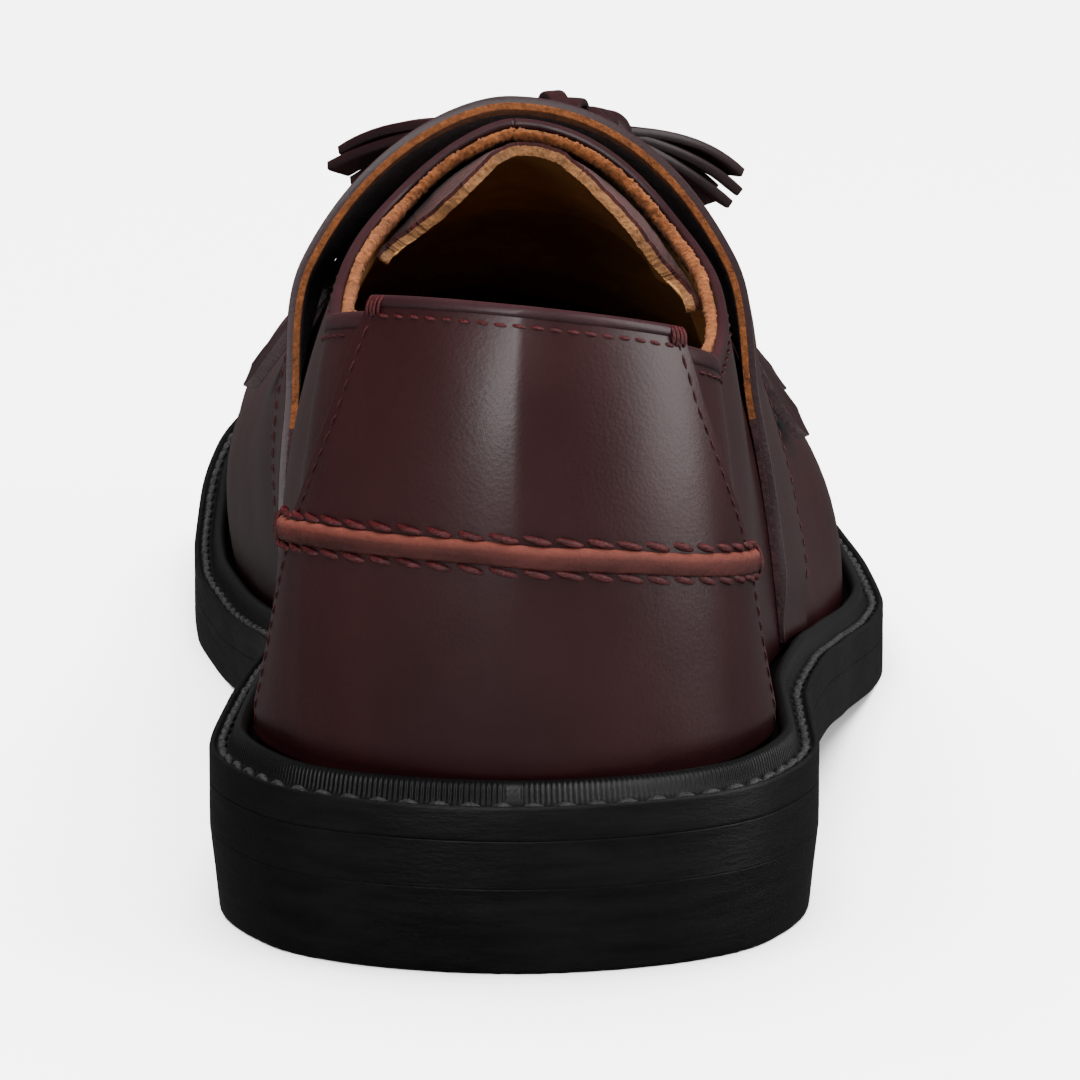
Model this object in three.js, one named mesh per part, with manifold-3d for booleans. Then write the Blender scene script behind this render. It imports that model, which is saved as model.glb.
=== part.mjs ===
import * as THREE from "three";
import { mergeVertices } from "three/addons/utils/BufferGeometryUtils.js";
import Module from "manifold-3d";

const wasm = await Module();
wasm.setup();

// A right kiltie tassel loafer on a storm-welted sole.
// The parts are built with Y running forward from the back of the sole, Z up from the floor and
// +X to the outer side of the foot, and the whole shoe is then set with its heel seat at the origin.

// Driving sizes, in millimetres
const soleLength = 296;
const ballWidth = 102;
const waistWidth = 75;
const heelWidth = 76;
const heelLength = 72;
const heelHeight = 10.5;
const heelTaper = 1.1;
const outsoleThickness = 5.6;
const weltThickness = 4.2;
const weltReach = 13;
const beadInset = 3;
const beadWidth = 1.9;
const beadHeight = 2.4;
const edgeRound = 0.6;
const toeSpring = 16;
const seat = 0.3;
const featherInset = 6.2;
const upperWall = 2.4;
const instepRise = 72;
const backHeight = 58;
const collarTilt = 0.11;
const insoleThickness = 3.5;
const insoleEase = 1.5;
const tongueThickness = 1.8;
const tongueGap = 0.5;
const tongueShow = 4.5;
const counterThickness = 1.2;
const counterStand = 1.7;
const seamWidth = 3;
const seamProud = 2.4;
const seamTilt = 0.08;
const seamFall = 0.15;
const kiltieThickness = 1.6;
const kiltieStrips = 17;
const stripSlit = 0.9;
const saddleThickness = 1.9;
const tieDiameter = 3;
const knotWidth = 9;
const knotHeight = 5.4;
const tasselCapLength = 8;
const tasselCapDiameter = 6;
const capShoulder = 1.4;
const capLip = 1;
const capGap = 3;
const tasselLength = 23;
const tasselSpread = 15;
const tasselDepth = 4.6;
const tasselDroop = 4.5;
const fringeWidth = 4;
const fringeThickness = 1.7;

// Heights that follow from the driving sizes
const heelSeat = heelWidth / 2;
const weltTop = outsoleThickness + weltThickness + seat;
const kiltieClear = seat + kiltieThickness + seat;

// Sole outline: at is a share of the length from the back, outer and inner the reach of the two
// edges to the outer and inner side as shares of the width named in of
const soleOutline = [
  { at: 0, of: heelWidth, outer: 0, inner: 0 },
  { at: 0.05, of: heelWidth, outer: 0.414, inner: 0.414 },
  { at: 0.12, of: heelWidth, outer: 0.5, inner: 0.5 },
  { at: 0.2, of: heelWidth, outer: 0.503, inner: 0.48 },
  { at: 0.28, of: waistWidth, outer: 0.552, inner: 0.453 },
  { at: 0.36, of: waistWidth, outer: 0.603, inner: 0.433 },
  { at: 0.44, of: waistWidth, outer: 0.648, inner: 0.452 },
  { at: 0.52, of: ballWidth, outer: 0.519, inner: 0.371 },
  { at: 0.59, of: ballWidth, outer: 0.546, inner: 0.411 },
  { at: 0.66, of: ballWidth, outer: 0.541, inner: 0.442 },
  { at: 0.73, of: ballWidth, outer: 0.518, inner: 0.452 },
  { at: 0.8, of: ballWidth, outer: 0.475, inner: 0.45 },
  { at: 0.87, of: ballWidth, outer: 0.407, inner: 0.432 },
  { at: 0.93, of: ballWidth, outer: 0.322, inner: 0.378 },
  { at: 0.975, of: ballWidth, outer: 0.19, inner: 0.272 },
  { at: 1, of: ballWidth, outer: -0.04, inner: 0.04 },
];

// Underside of the outsole: heel is a share of the heel height, toe a share of the toe spring
const soleUnder = [
  { at: 0, heel: 1, toe: 0 },
  { at: 0.25, heel: 1, toe: 0 },
  { at: 0.3, heel: 0.92, toe: 0 },
  { at: 0.385, heel: 0.6, toe: 0 },
  { at: 0.47, heel: 0.25, toe: 0 },
  { at: 0.545, heel: 0.03, toe: 0 },
  { at: 0.57, heel: 0, toe: 0 },
  { at: 0.65, heel: 0, toe: 0 },
  { at: 0.72, heel: 0, toe: 0.06 },
  { at: 0.8, heel: 0, toe: 0.25 },
  { at: 0.87, heel: 0, toe: 0.48 },
  { at: 0.93, heel: 0, toe: 0.72 },
  { at: 1, heel: 0, toe: 1 },
];

// Crown of the last: rise is a share of the instep rise above the welt, ridge the place of the
// crown to the outer side as a share of the ball width
const crown = [
  { at: 0, rise: 1.17, ridge: 0.025 },
  { at: 0.13, rise: 1.154, ridge: 0.025 },
  { at: 0.236, rise: 1.07, ridge: 0.021 },
  { at: 0.287, rise: 1.004, ridge: 0.009 },
  { at: 0.338, rise: 0.965, ridge: 0.001 },
  { at: 0.405, rise: 0.901, ridge: 0.016 },
  { at: 0.49, rise: 0.805, ridge: 0.024 },
  { at: 0.574, rise: 0.705, ridge: 0.012 },
  { at: 0.659, rise: 0.617, ridge: -0.004 },
  { at: 0.743, rise: 0.545, ridge: -0.022 },
  { at: 0.828, rise: 0.478, ridge: -0.036 },
  { at: 0.875, rise: 0.435, ridge: -0.042 },
  { at: 1, rise: 0.3, ridge: -0.042 },
];

// Section of the last as the pulls of a cubic curve from the feather edge to the crown: lean is how
// far each wall starts inwards, turn how far inwards it has turned below the crown, upright the
// wall's rise, all as shares of the way to the crown
const lastSection = [
  { at: 0, outerLean: -0.2, outerTurn: 0.25, innerLean: -0.2, innerTurn: 0.25, upright: 0.6 },
  { at: 0.06, outerLean: 0.05, outerTurn: 0.24, innerLean: 0.05, innerTurn: 0.24, upright: 0.6 },
  { at: 0.125, outerLean: 0.34, outerTurn: 0.24, innerLean: 0.34, innerTurn: 0.24, upright: 0.6 },
  { at: 0.21, outerLean: 0.07, outerTurn: 0.29, innerLean: -0.04, innerTurn: 0.59, upright: 0.67 },
  { at: 0.3, outerLean: 0.17, outerTurn: 0.58, innerLean: -0.27, innerTurn: 0.79, upright: 0.76 },
  { at: 0.37, outerLean: 0.16, outerTurn: 0.61, innerLean: -0.39, innerTurn: 0.68, upright: 0.8 },
  { at: 0.473, outerLean: 0.24, outerTurn: 0.46, innerLean: -0.42, innerTurn: 0.46, upright: 0.79 },
  { at: 0.575, outerLean: -0.02, outerTurn: 0.72, innerLean: -0.28, innerTurn: 0.42, upright: 0.74 },
  { at: 0.68, outerLean: -0.04, outerTurn: 0.68, innerLean: -0.18, innerTurn: 0.42, upright: 0.72 },
  { at: 0.78, outerLean: -0.05, outerTurn: 0.58, innerLean: -0.12, innerTurn: 0.44, upright: 0.72 },
  { at: 0.88, outerLean: -0.06, outerTurn: 0.5, innerLean: -0.1, innerTurn: 0.44, upright: 0.72 },
  { at: 1, outerLean: -0.08, outerTurn: 0.42, innerLean: -0.08, innerTurn: 0.42, upright: 0.72 },
];
const heelPole = 0.13;
const toePole = 0.875;

// Collar line in side view: height is a share of the back height above the welt at the heel
const collar = [
  { at: 0, height: 1 },
  { at: 0.03, height: 0.983 },
  { at: 0.085, height: 0.918 },
  { at: 0.12, height: 0.872 },
  { at: 0.152, height: 0.833 },
  { at: 0.19, height: 0.873 },
  { at: 0.23, height: 0.953 },
  { at: 0.27, height: 1.044 },
  { at: 0.304, height: 1.247 },
  { at: 0.335, height: 1.32 },
];

// Front edge of the heel counter: up is a share of the back height above the welt
const counterFront = [
  { up: -0.2, at: 0.138 },
  { up: 0.05, at: 0.126 },
  { up: 0.3, at: 0.108 },
  { up: 0.5, at: 0.088 },
  { up: 0.62, at: 0.075 },
  { up: 0.8, at: 0.065 },
  { up: 1.2, at: 0.062 },
];
const seamUp = 0.525;
const seamReach = 0.09;

// Saddle edges in side view: up is a share of the back height above the welt at the heel
const saddleEdges = [
  { up: -0.3, rear: 0.294, front: 0.392 },
  { up: 0, rear: 0.3, front: 0.4 },
  { up: 0.35, rear: 0.318, front: 0.422 },
  { up: 0.8, rear: 0.338, front: 0.438 },
  { up: 1.5, rear: 0.352, front: 0.446 },
];

// How far the saddle's rear edge stands off the upper, and where that stand starts to fade and
// has faded out, as shares of the way down the side
const saddleRearStand = 3.4;
const saddleStandFrom = 0.57;
const saddleStandTo = 0.78;

// Kiltie: outer and inner are how far down the two sides it spreads, as shares of the way to the
// feather edge
const kiltieReach = [
  { at: 0.36, outer: 0.46, inner: 0.46 },
  { at: 0.45, outer: 0.565, inner: 0.56 },
  { at: 0.505, outer: 0.735, inner: 0.645 },
  { at: 0.58, outer: 0.86, inner: 0.76 },
];
const kiltieRoot = 0.41;
const kiltieSlit = 0.455;
const kiltieFront = 0.572;
const kiltieSweep = 0.05;

// Tassels: where the knot sits on the saddle, along the shoe and aside of its crown as a share of
// the way down the side, and the two directions in which they lie
const knotAt = 0.402;
const knotAside = 0.08;
const outerTasselWay = new THREE.Vector3(17.5, 25, -7);
const innerTasselWay = new THREE.Vector3(-21, 23, -4.5);

// The layers of strips in a tassel: lift is a share of the tassel's depth
const fringeLayers = [
  { count: 3, lift: 0.5 },
  { count: 4, lift: 0.03 },
  { count: 3, lift: -0.46 },
];
const fringeStep = 0.5;

// A smooth curve through one column of a table that never overshoots its rows
function through(rows, key, value) {
  const x = rows.map((row) => row[key]);
  const y = rows.map(value);
  const slope = y.slice(1).map((next, i) => (next - y[i]) / (x[i + 1] - x[i]));
  const pull = y.map((_, i) => {
    const before = slope[Math.max(0, i - 1)];
    const after = slope[Math.min(slope.length - 1, i)];
    return before * after <= 0 ? 0 : (2 * before * after) / (before + after);
  });
  return (at) => {
    const place = THREE.MathUtils.clamp(at, x[0], x[x.length - 1]);
    const i = Math.max(0, Math.min(x.length - 2, x.findIndex((edge) => edge >= place) - 1));
    const step = x[i + 1] - x[i];
    const t = (place - x[i]) / step;
    const ease = t * t * (3 - 2 * t);
    const lead = t * (1 - t) * (1 - t) * step * pull[i];
    const trail = t * t * (t - 1) * step * pull[i + 1];
    return y[i] + (y[i + 1] - y[i]) * ease + lead + trail;
  };
}

// Turns a share of the length into the angle that spaces the stations closely at both ends
const angleOf = (at) => Math.acos(1 - 2 * THREE.MathUtils.clamp(at, 0, 1));
const outlineAngles = soleOutline.map((row) => ({ ...row, angle: angleOf(row.at) }));
const outerEdge = through(outlineAngles, "angle", (row) => row.outer * row.of);
const innerEdge = through(outlineAngles, "angle", (row) => row.inner * row.of);
const underRise = through(soleUnder, "at", (row) => row.heel * (heelHeight + seat) + row.toe * toeSpring);
const crownRise = through(crown, "at", (row) => row.rise * instepRise);
const ridgePlace = through(crown, "at", (row) => row.ridge * ballWidth);
const sectionAngles = lastSection.map((row) => ({ ...row, angle: angleOf(row.at) }));
const outerLean = through(sectionAngles, "angle", (row) => row.outerLean);
const innerLean = through(sectionAngles, "angle", (row) => row.innerLean);
const outerTurn = through(sectionAngles, "angle", (row) => row.outerTurn);
const innerTurn = through(sectionAngles, "angle", (row) => row.innerTurn);
const uprightOf = through(sectionAngles, "angle", (row) => row.upright);
const heelTop = heelHeight + seat + weltTop;
const collarHeight = through(collar, "at", (row) => heelTop + row.height * backHeight);
const outerReach = through(kiltieReach, "at", (row) => row.outer);
const innerReach = through(kiltieReach, "at", (row) => row.inner);

const soleBottomAt = (y) => underRise(y / soleLength);
const weltTopAt = (y) => soleBottomAt(y) + weltTop;

// Closed solids from triangles, turned outward and with shared corners merged
function solidOf(corners) {
  const loose = new THREE.BufferGeometry();
  const flat = corners.flatMap((p) => [p.x, p.y, p.z]);
  loose.setAttribute("position", new THREE.Float32BufferAttribute(flat, 3));
  const merged = mergeVertices(loose, 2e-4);
  const faces = [];
  const index = merged.index.array;
  for (let i = 0; i < index.length; i += 3) {
    const [a, b, c] = [index[i], index[i + 1], index[i + 2]];
    if (a !== b && b !== c && c !== a) faces.push(a, b, c);
  }
  const build = (order) =>
    new wasm.Manifold(
      new wasm.Mesh({
        numProp: 3,
        vertProperties: new Float32Array(merged.attributes.position.array),
        triVerts: new Uint32Array(order),
      }),
    );
  const made = build(faces);
  return made.volume() > 0 ? made : build(faces.toReversed());
}

// Two triangles for the four corners of one cell
function cell(corners, a, b, c, d) {
  corners.push(a, b, c, a, c, d);
}

// A solid between two matching grids of points, low and high, closed round its four sides
function slab(low, high) {
  const corners = [];
  const rows = low.length - 1;
  const columns = low[0].length - 1;
  for (let i = 0; i < rows; i++) {
    for (let j = 0; j < columns; j++) {
      cell(corners, high[i][j], high[i][j + 1], high[i + 1][j + 1], high[i + 1][j]);
      cell(corners, low[i][j], low[i + 1][j], low[i + 1][j + 1], low[i][j + 1]);
    }
    cell(corners, low[i][0], high[i][0], high[i + 1][0], low[i + 1][0]);
    cell(corners, low[i + 1][columns], high[i + 1][columns], high[i][columns], low[i][columns]);
  }
  for (let j = 0; j < columns; j++) {
    cell(corners, low[0][j + 1], high[0][j + 1], high[0][j], low[0][j]);
    cell(corners, low[rows][j], high[rows][j], high[rows][j + 1], low[rows][j + 1]);
  }
  return solidOf(corners);
}

// A solid through loops of points, each closed on itself, ending in two flat caps or in a ring
function loft(loops, ring) {
  const corners = [];
  const last = loops.length - (ring ? 0 : 1);
  const count = loops[0].length;
  for (let i = 0; i < last; i++) {
    const here = loops[i];
    const next = loops[(i + 1) % loops.length];
    for (let j = 0; j < count; j++) {
      const k = (j + 1) % count;
      cell(corners, here[j], here[k], next[k], next[j]);
    }
  }
  if (!ring) {
    const end = loops[loops.length - 1];
    for (let j = 1; j < count - 1; j++) {
      corners.push(loops[0][0], loops[0][j + 1], loops[0][j]);
      corners.push(end[0], end[j], end[j + 1]);
    }
  }
  return solidOf(corners);
}

// A solid through levels of matching outer and inner edges, capped between the two edges
function plate(levels) {
  const corners = [];
  const count = levels[0].outer.length - 1;
  for (let n = 0; n < levels.length - 1; n++) {
    const low = levels[n];
    const high = levels[n + 1];
    for (let k = 0; k < count; k++) {
      cell(corners, low.outer[k], low.outer[k + 1], high.outer[k + 1], high.outer[k]);
      cell(corners, low.inner[k + 1], low.inner[k], high.inner[k], high.inner[k + 1]);
    }
    cell(corners, low.outer[count], low.inner[count], high.inner[count], high.outer[count]);
  }
  const bottom = levels[0];
  const top = levels[levels.length - 1];
  for (let k = 0; k < count; k++) {
    cell(corners, bottom.outer[k], bottom.inner[k], bottom.inner[k + 1], bottom.outer[k + 1]);
    cell(corners, top.outer[k], top.outer[k + 1], top.inner[k + 1], top.inner[k]);
  }
  return solidOf(corners);
}

// A prism across the whole shoe of a closed side-view outline, tilted as the collar is
function crossPrism(outline, tilt) {
  const reach = ballWidth;
  const side = (x) => outline.map(([y, z]) => new THREE.Vector3(x, y, z - tilt * x));
  return loft([side(-reach), side(reach)], false);
}

function meshOf(solid) {
  const made = solid.getMesh();
  const geometry = new THREE.BufferGeometry();
  geometry.setAttribute("position", new THREE.BufferAttribute(made.vertProperties, 3));
  geometry.setIndex(new THREE.BufferAttribute(made.triVerts, 1));
  geometry.computeVertexNormals();
  return geometry;
}

// Sole outline

// A point of the outline at an angle from the back, on one side, moved in by an inset
function outlinePoint(angle, side, inset) {
  const at = (theta) => {
    const outwards = side * Math.sign(theta || 1) > 0;
    const turn = Math.abs(theta);
    const x = outwards ? outerEdge(turn) : -innerEdge(turn);
    return new THREE.Vector2(x, (soleLength / 2) * (1 - Math.cos(theta)));
  };
  const fine = 0.01;
  const before = at(angle - fine);
  const after = at(Math.min(angle + fine, Math.PI));
  const atToe = angle > Math.PI - fine / 2;
  const along = atToe ? new THREE.Vector2(-side, 0) : after.sub(before).normalize();
  const inward = new THREE.Vector2(-along.y * side, along.x * side);
  return at(angle).addScaledVector(inward, inset);
}

const soleStations = 32;
const stationAngles = Array.from({ length: soleStations + 1 }, (_, k) => (Math.PI * k) / soleStations);

// One level of the sole: the outline moved in by an inset, at a height that follows the station
function soleLevel(angles, inset, height) {
  const edge = (side) =>
    angles.map((angle) => {
      const p = outlinePoint(angle, side, inset);
      return new THREE.Vector3(p.x, p.y, height(p.y));
    });
  return { outer: edge(1), inner: edge(-1) };
}

function heelBlock() {
  const breast = angleOf(heelLength / soleLength);
  const steps = 12;
  const angles = Array.from({ length: steps + 1 }, (_, k) => (breast * k) / steps);
  const level = (inset, z) => soleLevel(angles, inset, () => z);
  return plate([
    level(heelTaper + edgeRound, 0),
    level(heelTaper, edgeRound),
    level(edgeRound / 2, heelHeight - edgeRound / 2),
    level(edgeRound, heelHeight),
  ]);
}

function outsole() {
  const level = (inset, lift) => soleLevel(stationAngles, inset, (y) => soleBottomAt(y) + lift);
  return plate([
    level(edgeRound, 0),
    level(0, edgeRound),
    level(0, outsoleThickness - edgeRound / 2),
    level(edgeRound / 2, outsoleThickness),
  ]);
}

// The storm welt: a ring with a flat rim and a raised bead against the upper
function stormWelt() {
  const beadMiddle = beadInset + beadWidth / 2;
  const profile = [
    [edgeRound / 2, 0],
    [0, edgeRound / 2],
    [0, weltThickness - edgeRound],
    [edgeRound, weltThickness],
    [beadInset, weltThickness],
    [beadInset, weltThickness + beadHeight * 0.6],
    [beadMiddle, weltThickness + beadHeight],
    [beadInset + beadWidth, weltThickness + beadHeight * 0.6],
    [beadInset + beadWidth, weltThickness],
    [weltReach, weltThickness],
    [weltReach, 0],
  ];
  const loops = [];
  for (let k = 0; k < 2 * soleStations; k++) {
    const onOuter = k <= soleStations;
    const angle = stationAngles[onOuter ? k : 2 * soleStations - k];
    const side = onOuter ? 1 : -1;
    loops.push(
      profile.map(([inset, lift]) => {
        const p = outlinePoint(angle, side, inset);
        return new THREE.Vector3(p.x, p.y, soleBottomAt(p.y) + outsoleThickness + seat + lift);
      }),
    );
  }
  return loft(loops, true);
}

// The last

// Edge of the last at an angle, drawn in from the sole's outline on one side
const roundHalf = heelWidth * 0.34;
function drawnEdge(angle, side, inset) {
  const middle = (outerEdge(angle) - innerEdge(angle)) / 2;
  const half = (outerEdge(angle) + innerEdge(angle)) / 2;
  return middle + side * (half - (inset * half) / (half ** 4 + roundHalf ** 4) ** 0.25);
}

// The last's own surface. angle sets the station, across runs from -1 at the inner feather edge
// through 0 at the crown to 1 at the outer feather edge.
function lastPoint(angle, across) {
  const side = across < 0 ? -1 : 1;
  const climb = 1 - Math.abs(across);
  const y = featherInset + (soleLength / 2 - featherInset) * (1 - Math.cos(angle));
  const share = y / soleLength;
  const foot = new THREE.Vector2(drawnEdge(angle, side, featherInset), y);
  const poleShare = THREE.MathUtils.clamp(share, heelPole, toePole);
  const pole = new THREE.Vector2(ridgePlace(poleShare), poleShare * soleLength);
  const lean = side > 0 ? outerLean(angle) : innerLean(angle);
  const turn = side > 0 ? outerTurn(angle) : innerTurn(angle);
  const early = 3 * climb * (1 - climb) ** 2;
  const late = 3 * climb ** 2 * (1 - climb);
  const inwards = early * lean + late * turn + climb ** 3;
  const upwards = early * uprightOf(angle) + late + climb ** 3;
  const base = weltTopAt(y) + seat;
  const top = weltTopAt(pole.y) + crownRise(pole.y / soleLength);
  const plan = foot.clone().lerp(pole, inwards);
  return new THREE.Vector3(plan.x, plan.y, base + (top - base) * upwards);
}

// A point standing off the last along its normal, outwards for a positive distance
function offLast(angle, across, distance) {
  const fine = 0.004;
  const here = THREE.MathUtils.clamp(angle, fine, Math.PI - fine);
  const level = THREE.MathUtils.clamp(across, -1 + fine, 1 - fine);
  const along = lastPoint(here + fine, level).sub(lastPoint(here - fine, level));
  const over = lastPoint(here, level + fine).sub(lastPoint(here, level - fine));
  const normal = over.cross(along).normalize();
  if (angle !== here) normal.setX(0).normalize();
  return lastPoint(angle, across).addScaledVector(normal, distance);
}

const angleAtY = (y) => Math.acos(1 - (y - featherInset) / (soleLength / 2 - featherInset));

// The whole form of the last as a closed solid, larger or smaller by a distance
const lastStations = 30;
const climbSteps = 12;
function lastForm(distance, drop) {
  const grid = [];
  for (let k = 0; k <= 2 * lastStations; k++) {
    const onOuter = k <= lastStations;
    const angle = (Math.PI * (onOuter ? k : 2 * lastStations - k)) / lastStations;
    const side = onOuter ? 1 : -1;
    const row = [];
    for (let j = 0; j <= climbSteps; j++) {
      const climb = j / climbSteps;
      const top = j === climbSteps;
      const p = top ? crownPoint(angle, distance) : offLast(angle, side * (1 - climb), distance);
      row.push(p);
    }
    const foot = row[0];
    row[0] = new THREE.Vector3(foot.x, foot.y, lastPoint(angle, side).z);
    row.unshift(new THREE.Vector3(foot.x, foot.y, row[0].z - drop));
    grid.push(row);
  }
  grid[2 * lastStations] = grid[0];
  const corners = [];
  for (let k = 0; k < 2 * lastStations; k++) {
    for (let j = 0; j <= climbSteps; j++) {
      cell(corners, grid[k][j], grid[k + 1][j], grid[k + 1][j + 1], grid[k][j + 1]);
    }
  }
  for (let k = 0; k < lastStations; k++) {
    const [a, b] = [grid[k][0], grid[k + 1][0]];
    const [c, d] = [grid[2 * lastStations - k - 1][0], grid[2 * lastStations - k][0]];
    cell(corners, a, d, c, b);
  }
  return solidOf(corners);
}

// The crown line of a form, where its outer and inner halves meet
function crownPoint(angle, distance) {
  const poleShare = THREE.MathUtils.clamp(lastPoint(angle, 1).y / soleLength, heelPole, toePole);
  const pole = angleAtY(poleShare * soleLength);
  return offLast(pole, 0, distance);
}

// The collar's side-view outline, moved back and down, closed well above the shoe
function collarOutline(back, down) {
  const points = [];
  const first = collar[0].at * soleLength;
  const end = collar[collar.length - 1].at * soleLength;
  const count = 26;
  for (let i = 0; i <= count; i++) {
    const y = first + ((end - first) * i) / count;
    points.push([y - back, collarHeight(y / soleLength) - down]);
  }
  const above = heelTop + backHeight * 2;
  const behind = -heelWidth / 2;
  return [[behind, points[0][1]], ...points, [end - back, above], [behind, above]];
}

function upper() {
  const outside = lastForm(0, 0);
  const inside = lastForm(-upperWall, weltThickness);
  return outside.subtract(inside).subtract(crossPrism(collarOutline(0, 0), collarTilt));
}

function insole() {
  const under = (inset, lift) => soleLevel(stationAngles, inset, (y) => soleBottomAt(y) + lift);
  const board = (height) => {
    const edge = (side) =>
      stationAngles.map((angle) => {
        const p = lastPoint(angle, side);
        const inset = upperWall + insoleEase;
        const x = drawnEdge(angle, side, featherInset + inset);
        const y = THREE.MathUtils.mapLinear(p.y, featherInset, soleLength - featherInset,
          featherInset + inset, soleLength - featherInset - inset);
        return new THREE.Vector3(x, y, weltTopAt(y) + seat + height);
      });
    return { outer: edge(1), inner: edge(-1) };
  };
  return plate([
    under(weltReach + seat, outsoleThickness + seat),
    under(weltReach + seat, weltTop + seat),
    board(0),
    board(insoleThickness),
  ]);
}

// A sheet on the last between two angles and two sides, from a low to a high stand-off
function sheetOnLast({ rows, columns, place, low, high }) {
  const grid = (stand) =>
    Array.from({ length: rows + 1 }, (_, i) =>
      Array.from({ length: columns + 1 }, (_, j) => {
        const [y, across] = place(i / rows, j / columns);
        return offLast(angleAtY(y), across, stand(y, across));
      }),
    );
  return slab(grid(low), grid(high));
}

function tongue() {
  const under = upperWall + tongueGap;
  const rear = soleLength * 0.17;
  const front = soleLength * 0.47;
  const spread = 0.64;
  const flap = sheetOnLast({
    rows: 10,
    columns: 12,
    place: (u, v) => [rear + (front - rear) * u, spread * (2 * v - 1)],
    low: () => -under - tongueThickness,
    high: () => -under,
  });
  return flap.subtract(crossPrism(collarOutline(tongueShow, 0), collarTilt));
}

// A side-view outline of the two edges of a table of heights
function edgePoints(table, key) {
  const edge = through(table, "up", (row) => row[key] * soleLength);
  const [low, high] = [table[0].up, table[table.length - 1].up];
  const count = 10;
  return Array.from({ length: count + 1 }, (_, i) => {
    const up = low + ((high - low) * i) / count;
    return [edge(up), heelTop + up * backHeight];
  });
}

// Everything below the top of the welt's bead, over the whole length
function beadZone() {
  const count = 40;
  const line = Array.from({ length: count + 1 }, (_, i) => {
    const y = (soleLength * i) / count;
    return [y, weltTopAt(y) + beadHeight + seat];
  });
  const below = -heelHeight;
  const [behind, ahead] = [-heelWidth / 2, soleLength + heelWidth / 2];
  const outline = [[behind, line[0][1]], ...line, [ahead, line[count][1]], [ahead, below], [behind, below]];
  return crossPrism(outline.toReversed(), 0);
}

// The sheet that the two counter panels are cut from, wrapped round the back of the last
function counterSheet() {
  const reach = angleOf(0.17);
  const rows = 20;
  const columns = 12;
  const grid = (stand) =>
    Array.from({ length: rows + 1 }, (_, i) =>
      Array.from({ length: columns + 1 }, (_, j) => {
        const turn = reach * ((2 * i) / rows - 1);
        const climb = 0.012 + (0.62 - 0.012) * (j / columns);
        const side = turn < 0 ? -1 : 1;
        return offLast(Math.abs(turn), side * (1 - climb), stand);
      }),
    );
  return slab(grid(seat), grid(seat + counterThickness));
}

const seamHeightAt = (y) => heelTop + seamUp * backHeight - seamFall * y;

function counterPanel(upperHalf) {
  const front = edgePoints(counterFront, "at");
  const behind = -heelWidth / 2;
  const low = front[0][1];
  const high = front[front.length - 1][1];
  const region = crossPrism([[behind, low], ...front, [behind, high]], 0);
  const ahead = soleLength / 2;
  const edge = (y) => seamHeightAt(y) + (upperHalf ? 1 : -1) * (seamWidth / 2 + seat);
  const limit = upperHalf ? heelTop - backHeight : heelTop + 2 * backHeight;
  const band = [[behind, limit], [ahead, limit], [ahead, edge(ahead)], [behind, edge(behind)]];
  const panel = counterSheet().intersect(region).subtract(crossPrism(band, seamTilt));
  if (!upperHalf) return panel.subtract(beadZone());
  return panel.subtract(crossPrism(collarOutline(0, -counterStand), collarTilt));
}

// How far up the last's wall the heel seam runs, at an angle and on one side
function seamClimb(angle, side) {
  let [low, high] = [0, 0.9];
  for (let i = 0; i < 24; i++) {
    const middle = (low + high) / 2;
    const p = lastPoint(angle, side * (1 - middle));
    if (p.z < seamHeightAt(p.y) - seamTilt * p.x) low = middle;
    else high = middle;
  }
  return (low + high) / 2;
}

// The rolled seam round the back of the heel
function heelSeam() {
  const reach = angleOf(seamReach);
  const steps = 24;
  const at = (i) => {
    const turn = reach * ((2 * i) / steps - 1);
    const side = turn < 0 ? -1 : 1;
    const across = side * (1 - seamClimb(Math.abs(turn), side));
    return (stand) => offLast(Math.abs(turn), across, stand);
  };
  const half = seamWidth / 2;
  const profile = [[-half, seat], [half, seat], [half, seamProud * 0.75], [half * 0.55, seamProud],
    [-half * 0.55, seamProud], [-half, seamProud * 0.75]];
  const loops = Array.from({ length: steps + 1 }, (_, i) => {
    const base = at(i)(0);
    const out = at(i)(1).sub(base);
    const along = at(Math.min(steps, i + 0.5))(0).sub(at(Math.max(0, i - 0.5))(0)).normalize();
    const rise = along.cross(out).normalize();
    return profile.map(([up, stand]) => at(i)(stand).addScaledVector(rise, up));
  });
  return loft(loops, false);
}

function saddle() {
  const rearEdge = edgePoints(saddleEdges, "rear");
  const frontEdge = edgePoints(saddleEdges, "front");
  const region = crossPrism([...frontEdge, ...rearEdge.toReversed()], 0);
  const stand = (y, across) => {
    const sideways = THREE.MathUtils.smoothstep(Math.abs(across), saddleStandFrom, saddleStandTo);
    const forwards = THREE.MathUtils.smoothstep(y / soleLength, kiltieRoot - 0.05, kiltieRoot - 0.005);
    const top = THREE.MathUtils.lerp(saddleRearStand, kiltieClear, forwards);
    return THREE.MathUtils.lerp(top, seat, sideways);
  };
  const sheet = sheetOnLast({
    rows: 7,
    columns: 30,
    place: (u, v) => [soleLength * (0.27 + 0.2 * u), 0.985 * (2 * v - 1)],
    low: stand,
    high: (y, across) => stand(y, across) + saddleThickness,
  });
  return sheet.intersect(region).subtract(beadZone());
}

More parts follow.
